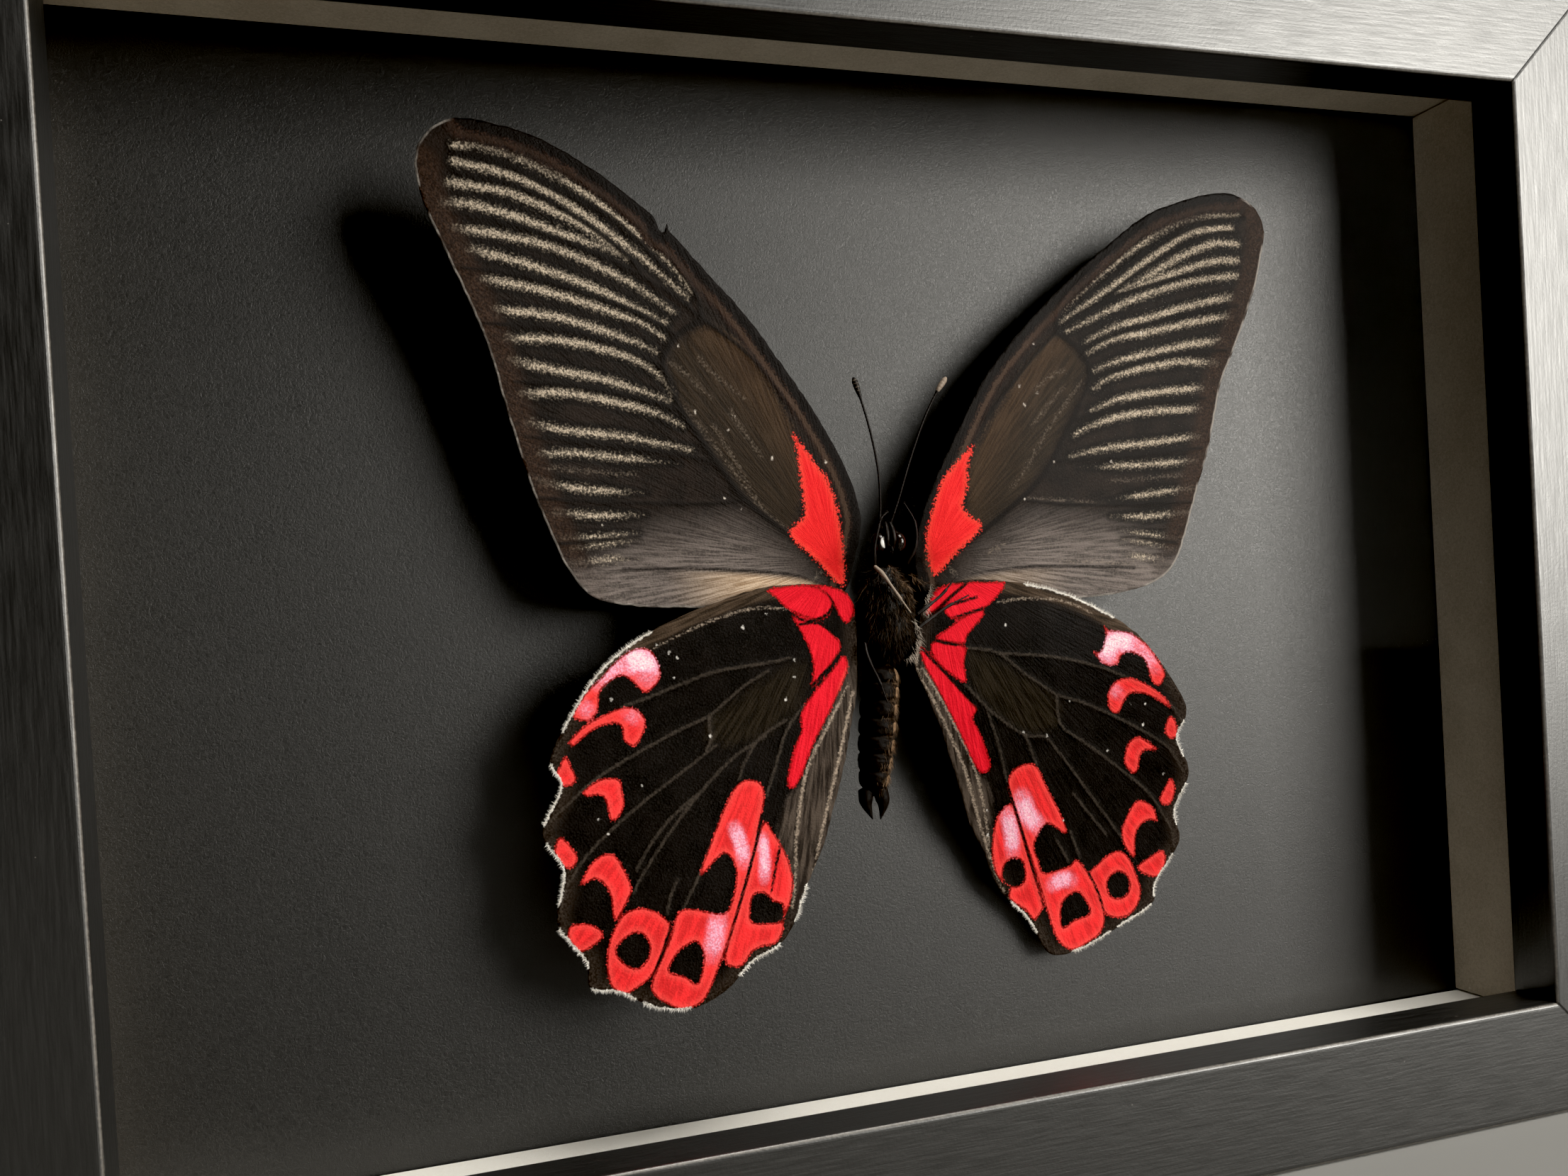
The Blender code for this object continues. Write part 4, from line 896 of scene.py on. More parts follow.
HIND_RIGHT = WingShape(
    name="hindwing_right",
    root=(5.0, 2.0),
    outline=line("""
    2.4,-8.2 3.4,-4 5.4,-1.5 9.5,-0.8 14.3,-1.1 20.8,-2.5 26.9,-5.1 32.2,-8.6 36,-13.4 38.5,-18.4 36.9,-22
    38.3,-26.4 35.9,-31 36.2,-34.9 32.5,-39.6 31.8,-42.2 27.4,-44.3 21.2,-46.7 17.1,-46.6 14.7,-42.4
    10.8,-37.9 9.4,-33.7 7.7,-29.9 6.7,-25.4 4.8,-18.5 3.1,-13.7 2,-10.8
    """),
    costa=(4, 7),
    strokes={
        "vein": strokes("""
    8.9,-8.9 13,-9.8 16.3,-12.5 20.5,-15.4; 13,-9.8 19.8,-10.6 24.6,-11.7 29.5,-13.5 35.3,-16.8 37.9,-20.1;
    20.5,-15.4 20.4,-17.1 20.6,-18.7 21.1,-19.6; 20.5,-15.4 24.3,-16.7 29.5,-19.2 33.9,-21.8 35.8,-23.4
    37.5,-26.2; 21.1,-19.6 24.8,-22.2 28.6,-25.2 32.4,-28.6 35.1,-33.1 35.4,-35.6; 8.3,-13.3 11.7,-16.9
    15.6,-19.8 18.6,-20.3; 15.6,-19.8 16.2,-21.1 17.1,-23.8; 18.6,-20.3 21.3,-23.9 24,-27.7 28,-33.5
    29,-35.7; 21.7,-27.5 24.7,-31.4 26,-33.1; 11,-16.7 12.2,-21 13,-25.6; 19,-32.9 19.8,-34.4 20.5,-35.9;
    21,-32.1 21.6,-33.9 22.1,-35.5
            """, half=0.17, start=0.9, end=0.9),
        "piping": (
            strokes("2.9,-10.9 6.1,-16.9 8.9,-23.5 9.9,-30 10,-32.6", half=0.15, start=0.7)
            + strokes("13.2,-3.7 16.5,-3.4 20.3,-3.6 23.2,-4.3 26,-5.7", half=0.08, start=0.7)
            + strokes("2.9,-7.8 2.2,-11 4.4,-15.6 7.4,-22.9 9,-30 10.8,-36.6 12.3,-39.5", 0.15, 0.9)
        ),
        "ink": strokes("""
    13,-25.6 14,-29.5 15.9,-37.5 16.7,-40.8; 23.2,-37.6 24.2,-39.7 24.9,-42.4; 9.3,-1.3 7.7,-2.4 6.2,-3.5
    5,-4.3; 10.7,-2.9 8.5,-3.4 6.3,-3.8; 11.3,-4.3 9.3,-4.8 7.2,-5.2; 4.6,-7.7 6.6,-8.3 8.6,-8.7; 3,-8.7
    5.2,-11.1 9.9,-16.2 11,-16.8
            """, half=0.2),
        "fringe": strokes("""
    18,-1.9 20.9,-2.7 26.1,-4.9 28.2,-6.2; 37.6,-20.8 36.7,-22.2 37.2,-23.6; 37.1,-28.5 36.1,-30 35.8,-32;
    34.6,-37 32.9,-39 32.3,-40.6; 30.8,-42.6 29.3,-43.3 27.4,-44.2; 24.9,-45.3 23.1,-45.9 20.9,-46.5;
    13,-40.3 14,-41.4 15.2,-43
            """, half=0.26, end=0.8),
    },
    fields={
        "red": lines("""
    27.5,-7.3 27.8,-8.4 26.9,-10.5 26,-10.4 26.7,-11.5 27.7,-12.2 29.1,-12.1 29.6,-11.2 30.6,-10.7 32,-11.1
    33.1,-12 33.8,-14.5 34.8,-15.2 35.5,-14.4 35.7,-13.5 33.9,-10.6 32.7,-9.4 31.2,-8.4 29.4,-8 28.2,-7.9;
    27.8,-17.8 27.5,-16.5 27.8,-15.2 28.9,-14.2 30.6,-13.9 32.2,-14.5 34.3,-15.8 35.8,-17.1 36.2,-18.1
    34.4,-16.9 32.8,-16.1 31.1,-15.8 30,-16.4 28.8,-18.2; 36.1,-19.1 36.8,-19.9 36.9,-21.8 35.7,-21.8
    35.2,-20.9 35.6,-19.8; 34,-23.2 32.7,-22.1 31.4,-21.4 30.2,-21.9 29.6,-22.9 29.3,-24.6 30.4,-25.9
    31.1,-25.3 31.5,-23.7 32.3,-23.1; 35.6,-26.9 36.1,-27.8 36,-28.9 35.2,-30.2 34,-30 33.9,-29.3
    34.8,-27.9; 33.3,-32 32.8,-30.3 31.6,-29.5 30.3,-29.5 28.5,-32.1 28.2,-33.7 28.7,-35.2 29.7,-36.2
    29.9,-34.6 30.3,-33 31.4,-32 32.3,-31.8; 33.6,-35.8 34.1,-36.8 33.6,-38.2 32.5,-39 30.5,-38.2 30.1,-37.4
    31.6,-36.6; 23.2,-37.8 24.6,-36.6 26.1,-35.6 27.8,-35.3 29,-36.5 29.8,-38.6 30.2,-40.4 29.6,-42.2
    28.2,-43.3 26.7,-43.4 25.1,-42.7 24.5,-40.6; 16.5,-23.5 15,-23.6 13.8,-24.2 13.1,-25.6 13.5,-27.9
    15.1,-33.5 16.6,-38.8 17.9,-43.9 18.9,-45.8 20.3,-46.6 22.1,-46.1 24.1,-45.1 24.9,-43.5 24.7,-41.2
    24,-39.1 21.8,-35.8 20.6,-36.4 17.1,-36.9 16.5,-35.4 16,-33.3 17.9,-30.9 20.4,-32.4 20.1,-30.5
    18.1,-26.2 17.4,-24.5; 13.3,-28.1 12.1,-28.7 11.2,-29.9 10.6,-32.2 10.4,-34.3 10.9,-36.6 12.5,-38.1
    12.2,-39.1 13,-40.1 14.4,-41.1 15.4,-42.4 16.4,-41.4 16.7,-40.3 15.3,-35.2 13.8,-29.3; 3.9,-4.6 4.5,-3.2
    5.2,-2 6.8,-1.3 9.1,-1.2 7.9,-2.1 6.4,-3.2 5.4,-4.1; 9.7,-1.1 12.4,-1.2 14.5,-1.3 14.3,-1.9 13.1,-3.1
    12,-4 10.3,-4.7 8.1,-5.3 7,-5.2 6.3,-4.4 6.3,-3.5 7.6,-2.5 8.9,-1.6; 11.3,-4.5 11.5,-5 9,-7.5 8.6,-8.4
    6.8,-8.1 4.9,-7.6 6.4,-6.6 8.1,-5.6 9.6,-4.9; 4.6,-7.9 6.3,-8.3 8.7,-8.8 8.4,-10.7 8.4,-13 6.8,-12.1
    5.2,-10.7 4.2,-9; 2.9,-8.4 5.6,-11.5 8.6,-15.2 9.7,-16.4 9,-17.4 9.9,-19.4 11,-23.3 10.1,-24 9.1,-23.4
    6.9,-18.2 4.5,-13.2 3.3,-10.8
        """),
        "hole": lines("""
    25.6,-39 26.3,-38.1 27.3,-37.7 28.4,-38.4 28.8,-39.6 28.2,-40.8 26.9,-41.1 25.8,-40.5; 21.3,-39.6
    22.2,-40.3 23.1,-42.1 22.6,-42.7 20.8,-43.1 19.2,-43.8 19,-42.3 19.5,-40.5; 12.3,-34.9 13.4,-34.6
    14.4,-35.2 14.6,-36.9 14,-38 12.5,-38 11.6,-37 11.7,-35.7
        """),
        "crimson": lines("3,0 15,0 13,-6 9,-13 11.5,-22 10.6,-25 8,-24 2.4,-9"),
        "fold": lines("""
    2.6,-8.9 5.8,-15.2 8.2,-22.4 10.6,-25.8 10.6,-30 10,-35 11.6,-38.4 9.6,-34.6 7.3,-29.9 6.3,-25.4
    4.4,-18.5 2.2,-12
        """),
        "cell": lines("9.4,-9.2 19.8,-15.4 20.2,-19 15.4,-19.2 10,-14.4"),
    },
    dots=line("""
    14.2,-6.5 15.6,-19.6 22.2,-16.3 18.7,-20.3 32.7,-17.3 30.7,-17.2 32.2,-19.9 34.6,-26.3 10.1,-28.6
    10,-31.5 27,-22.7 20.2,-30.8
    """),
    shine=(
        strokes("31.6,-9.9 29.2,-9.2 27.9,-10.4 27.8,-11.9", half=1.9, start=1.9)
        + strokes("31.4,-9.6 33,-11 34.4,-13", half=1.3, start=0.8)
        + strokes("14.8,-27.5 15.5,-29.6 16.9,-31.3", half=1.6, start=1.5)
        + strokes("12.7,-29.3 13.1,-31.7 13.1,-33.9", half=1.3, start=1.5)
        + strokes("18.2,-38.4 19.6,-37.9 20.8,-38.2", half=1.3, start=1.3)
        + strokes("28.2,-15 29.2,-16", half=1.2, start=0.5)
    ),
)


# ------------------------------------------------------------- mesh building


def curve_through(points: Line, spacing: float, closed: bool = False) -> Array:
    """Draw a smooth line through points.

    Args:
        points: the points, of any dimension.
        spacing: about how far apart the line's own points come.
        closed: whether the line returns to its start.

    Returns:
        One row for each point of the line.
    """
    held = np.array(points, dtype=float)
    count = len(held)
    spans = count if closed else count - 1
    rows = []
    for i in range(spans):
        before = held[i - 1] if closed or i else 2 * held[0] - held[1]
        start, end = held[i], held[(i + 1) % count]
        if closed:
            after = held[(i + 2) % count]
        else:
            after = held[i + 2] if i + 2 < count else 2 * end - start
        steps = max(1, round(float(np.linalg.norm(end - start)) / spacing))
        for k in range(steps):
            t = k / steps
            square = (2 * before - 5 * start + 4 * end - after) * t * t
            cube = (3 * start - before - 3 * end + after) * t * t * t
            rows.append(0.5 * (2 * start + (end - before) * t + square + cube))
    if not closed:
        rows.append(held[-1])
    return np.array(rows)


def off_path(spots: Array, path: Array) -> tuple[Array, Array]:
    """Measure how far spots are from an open path.

    Args:
        spots: one row for each spot, (across, up).
        path: one row for each of the path's points.

    Returns:
        Each spot's distance, and the share of the path passed at its nearest point.
    """
    best = np.full(len(spots), np.inf)
    share = np.zeros(len(spots))
    lengths = np.linalg.norm(np.diff(path, axis=0), axis=1)
    passed = np.concatenate(([0.0], np.cumsum(lengths)))
    for i in range(len(path) - 1):
        along = path[i + 1] - path[i]
        t = np.clip(((spots - path[i]) @ along) / max(float(along @ along), 1e-9), 0, 1)
        gap = np.linalg.norm(spots - path[i] - t[:, None] * along, axis=1)
        nearer = gap < best
        best = np.where(nearer, gap, best)
        share = np.where(nearer, (passed[i] + t * lengths[i]) / passed[-1], share)
    return best, share


def inside_depth(spots: Array, ring: Array) -> Array:
    """Measure how far spots are inside a closed ring (negative outside it)."""
    closed = np.vstack((ring, ring[:1]))
    gap, _ = off_path(spots, closed)
    inside = np.zeros(len(spots), dtype=bool)
    for (x0, y0), (x1, y1) in zip(closed[:-1], closed[1:]):
        if y0 == y1:
            continue
        crosses = (y0 > spots[:, 1]) != (y1 > spots[:, 1])
        inside ^= crosses & (spots[:, 0] < (x1 - x0) * (spots[:, 1] - y0) / (y1 - y0) + x0)
    return np.where(inside, gap, -gap)


def near_box(spots: Array, path: Array, reach: float) -> Array:
    """Return the places in the array of the spots within reach of a path's box."""
    low, high = path.min(axis=0) - reach, path.max(axis=0) + reach
    return np.flatnonzero(np.all((spots >= low) & (spots <= high), axis=1))


def ease(value: Array | float, low: float, high: float) -> Array | float:
    """Ease from 0 to 1 as a value goes from low to high."""
    t = np.clip((value - low) / (high - low), 0.0, 1.0)
    return t * t * (3 - 2 * t)


def mesh_of(
    name: str,
    corners: Array,
    faces: list[tuple[int, ...]],
    layers: dict[str, Array] | None = None,
    smooth: bool = True,
) -> Mesh:
    """Make a mesh.

    Args:
        name: its name.
        corners: one row for each point, in metres.
        faces: the corners of each face.
        layers: numbers (or vectors) held at the points, by name.
        smooth: whether its faces shade as one surface.

    Returns:
        The mesh.
    """
    mesh = bpy.data.meshes.new(name)
    mesh.from_pydata(corners.tolist(), [], faces)
    for label, values in (layers or {}).items():
        flat = np.ascontiguousarray(values, dtype=np.float32)
        kind, field = ("FLOAT_VECTOR", "vector") if flat.ndim == 2 else ("FLOAT", "value")
        mesh.attributes.new(label, kind, "POINT").data.foreach_set(field, flat.ravel())
    mesh.polygons.foreach_set("use_smooth", [smooth] * len(mesh.polygons))
    mesh.update()
    return mesh


def finished(
    name: str, mesh: Mesh, material: Material, slot: str, *replaced: str
) -> Piece:
    """Put a mesh in the scene as a piece of the object.

    Args:
        name: the piece's name.
        mesh: its mesh, with its place in it.
        material: its finish.
        slot: not used.
        replaced: the CAD nodes that it stands for.

    Returns:
        The piece.
    """
    piece = bpy.data.objects.new(name, mesh)
    bpy.context.scene.collection.objects.link(piece)
    mesh.materials.clear()
    mesh.materials.append(material)
    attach(piece, ROOT)
    if replaced:
        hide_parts(*replaced)
    LOG.info("%s: %d faces", name, len(mesh.polygons))
    return piece


def round_pairs(start: int, count: int) -> list[tuple[int, int]]:
    """Pair each corner of a ring with the next, from the ring's first corner."""
    return [(start + k, start + (k + 1) % count) for k in range(count)]


def tube(
    path: Array, radii: Array, sides: int = 10, squash: float = 1.0
) -> tuple[Array, list, Array]:
    """Sweep a round section along a path and close its ends.

    Args:
        path: one row for each point, (across, depth, up) in millimetres.
        radii: the section's radius at each point.
        sides: how many corners the section has.
        squash: its size from front to back, over its size from side to side.

    Returns:
        The corners in metres, the faces, and how far along the path each corner is.
    """
    rows, along, faces = [], [], []
    forward = np.gradient(path, axis=0)
    side = np.array((1.0, 0.0, 0.0))
    last = len(path) - 1
    for i, (spot, radius) in enumerate(zip(path, radii)):
        ahead = forward[i] / np.linalg.norm(forward[i])
        spare = np.cross(ahead, (0.0, 0.0, 1.0))
        side = np.cross(np.cross(ahead, side), ahead) if abs(ahead @ side) < 0.95 else spare
        side = side / np.linalg.norm(side)
        other = np.cross(ahead, side)
        for k in range(sides):
            turn = math.tau * k / sides
            swing = radius * (math.cos(turn) * side + math.sin(turn) * other)
            swing[1] *= squash
            rows.append(spot + swing)
            along.append(i / last)
    for i in range(last):
        faces.extend((a, b, b + sides, a + sides) for a, b in round_pairs(i * sides, sides))
    for i, step in ((0, -1), (last, 1)):
        ahead = forward[i] / np.linalg.norm(forward[i])
        rows.append(path[i] + step * ahead * radii[i] * 0.6)
        along.append(i / last)
        tip = len(rows) - 1
        faces.extend((b, a, tip) if step < 0 else (a, b, tip) for a, b in round_pairs(i * sides, sides))
    spots = np.array([place(*row) for row in rows])
    return spots, faces, np.array(along)


Part = tuple[Array, list, dict[str, Array]]


def joined(parts: list[Part]) -> Part:
    """Join several sets of corners, faces and layers into one."""
    spots, faces, layers, start = [], [], {}, 0
    for corners, rings, held in parts:
        spots.append(corners)
        faces.extend(tuple(start + k for k in ring) for ring in rings)
        for label, values in held.items():
            layers.setdefault(label, []).append(values)
        start += len(corners)
    return np.vstack(spots), faces, {label: np.concatenate(values) for label, values in layers.items()}


# -------------------------------------------------------- hair and fringes


class Sowing(Enum):
    """Where the hairs of a coat stand: strewn over faces, or one on each point."""

    STREWN = "strewn"
    ON_POINTS = "on_points"


@dataclass(frozen=True)
class Coat:
    """A coat of tapering hairs, made with Geometry Nodes on a mesh that carries their lay."""

    name: str
    material: Material
    length: float
    width: float
    sowing: Sowing = Sowing.STREWN
    density: float = 20.0
    stand: float = 0.35
    spread: float = 0.35
    curl: float = 0.25
    seed: int = 3

    def _sizes(self) -> dict[str, float]:
        """Return the tree's numbers by the names of its inputs, with lengths in metres."""
        return {
            "Density": self.density / MM**2, "Length": self.length * MM, "Width": self.width * MM,
            "Stand": self.stand, "Spread": self.spread, "Curl": self.curl,
        }

    def _blade(self, g: Graph, given: bpy.types.bpy_prop_collection) -> Socket:
        """Shape one hair: a thin cone of the coat's length and width that bends to one side."""
        fed = {"Vertices": 3, "Side Segments": 3, "Radius Top": 0.12, "Radius Bottom": 1.0, "Depth": 1.0}
        cone = g.node("GeometryNodeMeshCone", fed).outputs["Mesh"]
        parts = g.node("ShaderNodeSeparateXYZ", {0: g.node("GeometryNodeInputPosition").outputs[0]}).outputs
        bent = g.times(g.times(g.times(parts[2], parts[2]), given["Curl"]), given["Length"])
        wide = g.maths("MULTIPLY_ADD", parts[0], given["Width"], bent)
        deep, tall = g.times(parts[1], given["Width"]), g.times(parts[2], given["Length"])
        shaped = g.node("ShaderNodeCombineXYZ", {0: wide, 1: deep, 2: tall}).outputs[0]
        return g.node("GeometryNodeSetPosition", {"Geometry": cone, "Position": shaped}).outputs["Geometry"]

    def _chance(self, g: Graph, low: float, high: float, offset: int, vector: bool = False) -> Socket:
        """Draw a number, or a vector of them, at random for each hair."""
        fed = {0: (low,) * 3, 1: (high,) * 3} if vector else {2: low, 3: high}
        kind = "FLOAT_VECTOR" if vector else "FLOAT"
        made = g.node("FunctionNodeRandomValue", fed | {"Seed": self.seed + offset}, data_type=kind)
        return made.outputs[0 if vector else 1]

    def _tree(self) -> Tree:
        """Build the tree that sows the hairs."""
        tree = bpy.data.node_groups.new(f"{self.name} coat", "GeometryNodeTree")
        kinds = {"Geometry": "Geometry", **dict.fromkeys(self._sizes(), "Float"), "Material": "Material"}
        for label, kind in kinds.items():
            tree.interface.new_socket(label, in_out="INPUT", socket_type=f"NodeSocket{kind}")
        tree.interface.new_socket("Geometry", in_out="OUTPUT", socket_type="NodeSocketGeometry")
        g = Graph(tree)
        given, out = g.node("NodeGroupInput").outputs, g.node("NodeGroupOutput")
        blade = self._blade(g, given)
        held = "GeometryNodeInputNamedAttribute"
        lay = g.node(held, {"Name": "lay"}, data_type="FLOAT_VECTOR").outputs["Attribute"]
        points = given["Geometry"]
        if self.sowing is Sowing.STREWN:
            share = g.node(held, {"Name": "coat"}, data_type="FLOAT").outputs["Attribute"]
            fed = {"Seed": self.seed, "Density": g.times(given["Density"], share), "Mesh": points}
            sown = g.node("GeometryNodeDistributePointsOnFaces", fed, distribute_method="RANDOM").outputs
            points = sown["Points"]
            lay = g.vector("ADD", lay, g.vector("SCALE", sown["Normal"], given["Stand"]))
        stray = g.vector("SCALE", self._chance(g, -1.0, 1.0, 1, vector=True), given["Spread"])
        lay = g.vector("ADD", lay, stray)
        turn = g.node("FunctionNodeAlignRotationToVector", {"Vector": lay}, axis="Z").outputs[0]
        fed = {"Axis": (0.0, 0.0, 1.0), "Angle": self._chance(g, 0.0, math.tau, 2)}
        spin = g.node("FunctionNodeAxisAngleToRotation", fed).outputs[0]
        roll = g.node("FunctionNodeRotateRotation", {0: turn, 1: spin}, rotation_space="LOCAL").outputs[0]
        fed = {"Points": points, "Instance": blade, "Rotation": roll, "Scale": self._chance(g, 0.45, 1.15, 3)}
        copies = g.node("GeometryNodeInstanceOnPoints", fed).outputs["Instances"]
        real = g.node("GeometryNodeRealizeInstances", {"Geometry": copies}).outputs["Geometry"]
        fed = {"Geometry": real, "Material": given["Material"]}
        g.feed(out.inputs[0], g.node("GeometryNodeSetMaterial", fed).outputs["Geometry"])
        return tree

    def grow(self, ground: Mesh, slot: str = "insect_body") -> Piece:
        """Grow the coat on a mesh and keep it as a piece of its own.

        Args:
            ground: the mesh with "lay" (and "coat" where the hairs are strewn).
            slot: handed on to finished, which does not use it.

        Returns:
            The piece of hairs.
        """
        holder = bpy.data.objects.new(f"{self.name}_ground", ground)
        bpy.context.scene.collection.objects.link(holder)
        tree = self._tree()
        modifier = holder.modifiers.new("coat", "NODES")
        modifier.node_group = tree
        values = self._sizes() | {"Material": self.material}
        for item in tree.interface.items_tree:
            if item.item_type == "SOCKET" and item.in_out == "INPUT" and item.name in values:
                modifier[item.identifier] = values[item.name]
        holder.update_tag()
        ready = holder.evaluated_get(bpy.context.evaluated_depsgraph_get())
        mesh = bpy.data.meshes.new_from_object(ready)
        mesh.name = self.name
        bpy.data.objects.remove(holder)
        return finished(self.name, mesh, self.material, slot)


# --------------------------------------------------------------------- wings


@dataclass
class Wing:
    """One wing: a thin curved sheet whose points carry the distances to its marks."""

    shape: WingShape
    finish: Material
    thickness: float = 0.12
    lattice: float = 0.33
    vein_relief: float = 0.08
    far: float = 3.0
    spread_from: Spot = (-59.8, -131.4, -6.0)

    def depth(self, reach: Array) -> Array:
        """Return the depth of the wing's even front at so many millimetres from its root."""
        raise NotImplementedError

    def settle(self, flat: Array, reach: Array) -> Array:
        """Return how far the right wing's spots have settled back towards the board."""
        raise NotImplementedError

    def stand(self, flat: Array, back: Array | float) -> Array:
        """Find where spots of the flat wing come in the frame.

        Args:
            flat: one row for each spot, (across, up), as the marks are given.
            back: how far behind the wing's curve each spot lies.

        Returns:
            One row for each spot, in metres.
        """
        reach = np.linalg.norm(flat - np.array(self.shape.root), axis=1)
        even = self.depth(reach)
        settled = self.settle(flat, reach) * (self.shape.root[0] > 0)
        from_across, from_depth, from_up = self.spread_from
        spread = 1.0 + settled / (even - from_depth)
        across = from_across + (flat[:, 0] - from_across) * spread
        up = from_up + (flat[:, 1] - from_up) * spread
        return np.array([place(a, d, u) for a, d, u in zip(across, even + settled + back, up)])

    def _outline(self) -> Array:
        """Return the outline as a fine closed line, slightly frayed."""
        ring = curve_through(self.shape.outline, self.lattice, closed=True)
        for row in ring:
            spot = Vector((row[0] * 1.1, row[1] * 1.1, 4.0))
            row[0] += 0.09 * noise.noise(spot)
            row[1] += 0.09 * noise.noise(spot + Vector((31.0, 0.0, 0.0)))
        return ring

    def _lattice(self, ring: Array) -> tuple[Array, Array]:
        """Fill the outline with triangles and return their corners and faces."""
        low, high = ring.min(axis=0), ring.max(axis=0)
        rise = self.lattice * math.sqrt(3) / 2
        rows = []
        for j, up in enumerate(np.arange(low[1], high[1], rise)):
            start = low[0] + (0.5 * self.lattice if j % 2 else 0.0)
            across = np.arange(start, high[0], self.lattice)
            rows.append(np.column_stack((across, np.full(len(across), up))))
        inner = np.vstack(rows)
        inner = inner[inside_depth(inner, ring) > 0.45 * self.lattice]
        spots = [Vector(row) for row in np.vstack((ring, inner))]
        found = delaunay_2d_cdt(spots, [], [list(range(len(ring)))], 1, 1e-7)
        return np.array([tuple(row) for row in found[0]]), np.array(found[2])

    def _stroke_layer(self, flat: Array, lines: tuple[Stroke, ...]) -> Array:
        """Return how far each spot is inside the nearest stroke, in millimetres."""
        layer = np.full(len(flat), -1.0)
        for line in lines:
            path = curve_through(line.path, 0.8)
            held = near_box(flat, path, line.half + 1.0)
            if not len(held):
                continue
            gap, share = off_path(flat[held], path)
            narrowed = (1.0 - line.start) * (1.0 - ease(share, 0.0, 0.15))
            narrowed = narrowed + (1.0 - line.end) * ease(share, 0.6, 1.0)
            layer[held] = np.maximum(layer[held], line.half * (1.0 - narrowed) - gap)
        return layer

    def _field_layer(self, flat: Array, rings: tuple[Line, ...]) -> Array:
        """Return how far each spot is inside the nearest closed field, in millimetres."""
        layer = np.full(len(flat), -self.far)
        for ring in rings:
            path = curve_through(ring, 0.5, closed=True)
            held = near_box(flat, path, self.far)
            if len(held):
                layer[held] = np.maximum(layer[held], inside_depth(flat[held], path))
        return layer

    def _dot_layer(self, flat: Array) -> Array:
        """Return how far each spot is inside the nearest stray white scale."""
        layer = np.full(len(flat), -1.0)
        for k, dot in enumerate(self.shape.dots):
            gap = np.linalg.norm((flat - np.array(dot)) * (1.0, 0.8 + 0.2 * (k % 3)), axis=1)
            layer = np.maximum(layer, 0.17 - gap)
        return layer

    def layers(self, flat: Array, ring: Array) -> dict[str, Array]:
        """Measure every mark at each spot.

        Args:
            flat: one row for each spot, (across, up).
            ring: the wing's outline.

        Returns:
            The layers by name.
        """
        outline, (first, last) = self.shape.outline, self.shape.costa
        costa = curve_through(tuple(outline[k % len(outline)] for k in range(first, last + 1)), 0.8)
        root = np.array(self.shape.root)
        held = {
            "edge": off_path(flat, np.vstack((ring, ring[:1])))[0],
            "costa": off_path(flat, costa)[0],
            "reach": np.linalg.norm(flat - root, axis=1),
            "bearing": np.arctan2(flat[:, 1] - root[1], math.copysign(1.0, root[0]) * (flat[:, 0] - root[0])),
            "dots": self._dot_layer(flat),
        }
        held |= {label: self._stroke_layer(flat, lines) for label, lines in self.shape.strokes.items()}
        held |= {label: self._field_layer(flat, rings) for label, rings in self.shape.fields.items()}
        return held

    def relief(self, flat: Array, held: dict[str, Array]) -> Array:
        """Return how far each spot is set back from the wing's even curve."""
        waves = np.array([noise.noise(Vector((x * 0.09, y * 0.09, 2.0))) for x, y in flat])
        ripples = np.array([noise.noise(Vector((x * 0.4, y * 0.4, 7.0))) for x, y in flat])
        raised = ease(held["vein"], -0.25, 0.15)
        return 0.22 * waves * ease(held["reach"], 6.0, 20.0) + 0.03 * ripples - self.vein_relief * raised

    def build(self) -> Piece:
        """Build the wing and return its piece."""
        ring = self._outline()
        flat, faces = self._lattice(ring)
        held = self.layers(flat, ring)
        front = self.stand(flat, self.relief(flat, held))
        back = front + np.array((0.0, self.thickness * MM, 0.0))
        count = len(flat)
        edges = {(int(a), int(b)) for face in faces for a, b in zip(face, np.roll(face, -1))}
        rim = [(a, b) for a, b in edges if (b, a) not in edges]
        sheet = [tuple(int(k) for k in face) for face in faces]
        under = [tuple(k + count for k in reversed(face)) for face in sheet]
        walls = [(b, a, a + count, b + count) for a, b in sorted(rim)]
        doubled = {label: np.concatenate((values, values)) for label, values in held.items()}
        mesh = mesh_of(self.shape.name, np.vstack((front, back)), sheet + under + walls, doubled)
        return finished(f"{self.shape.name}_scaled", mesh, self.finish, "wing_membrane", self.shape.name)


@dataclass
class Forewing(Wing):
    """A forewing, which lifts towards its tip."""

    base_depth: float = 12.45
    lift: float = 3.1

    def depth(self, reach: Array) -> Array:
        """Return the depth of the wing's front at so many millimetres from its root."""
        return self.base_depth - self.lift * ease(reach, 18.0, 62.0)

    def settle(self, flat: Array, reach: Array) -> Array:
        """Return how far the right wing's spots have settled back towards the board."""
        return 4.0 * ease(reach, 10.0, 50.0)

    def layers(self, flat: Array, ring: Array) -> dict[str, Array]:
        """Measure every mark at each spot, with the outer margin and the soft fields."""
        held = super().layers(flat, ring)
        side = math.copysign(1.0, self.shape.root[0])
        outer = ring[(side * ring[:, 0] > 36.5) & (ring[:, 1] > -0.5)]
        outer = outer[inside_depth(outer, ring) > -9]
        away = np.linalg.norm(outer - np.array(self.shape.root), axis=1)
        outer = outer[(away < 62.0) | (outer[:, 1] < 44.0)]
        near = np.full(len(flat), 9.0)
        wide = np.flatnonzero(held["edge"] < 9.0)
        gaps = np.linalg.norm(flat[wide][:, None, :] - outer[None, :, :], axis=2).min(axis=1)
        near[wide] = np.minimum(gaps, 9.0)
        held["margin"] = near
        held["haze"] = ease(held["haze"], -2.0, 6.0)
        held["glow"] = ease(held["glow"], -0.5, 0.45)
        return held


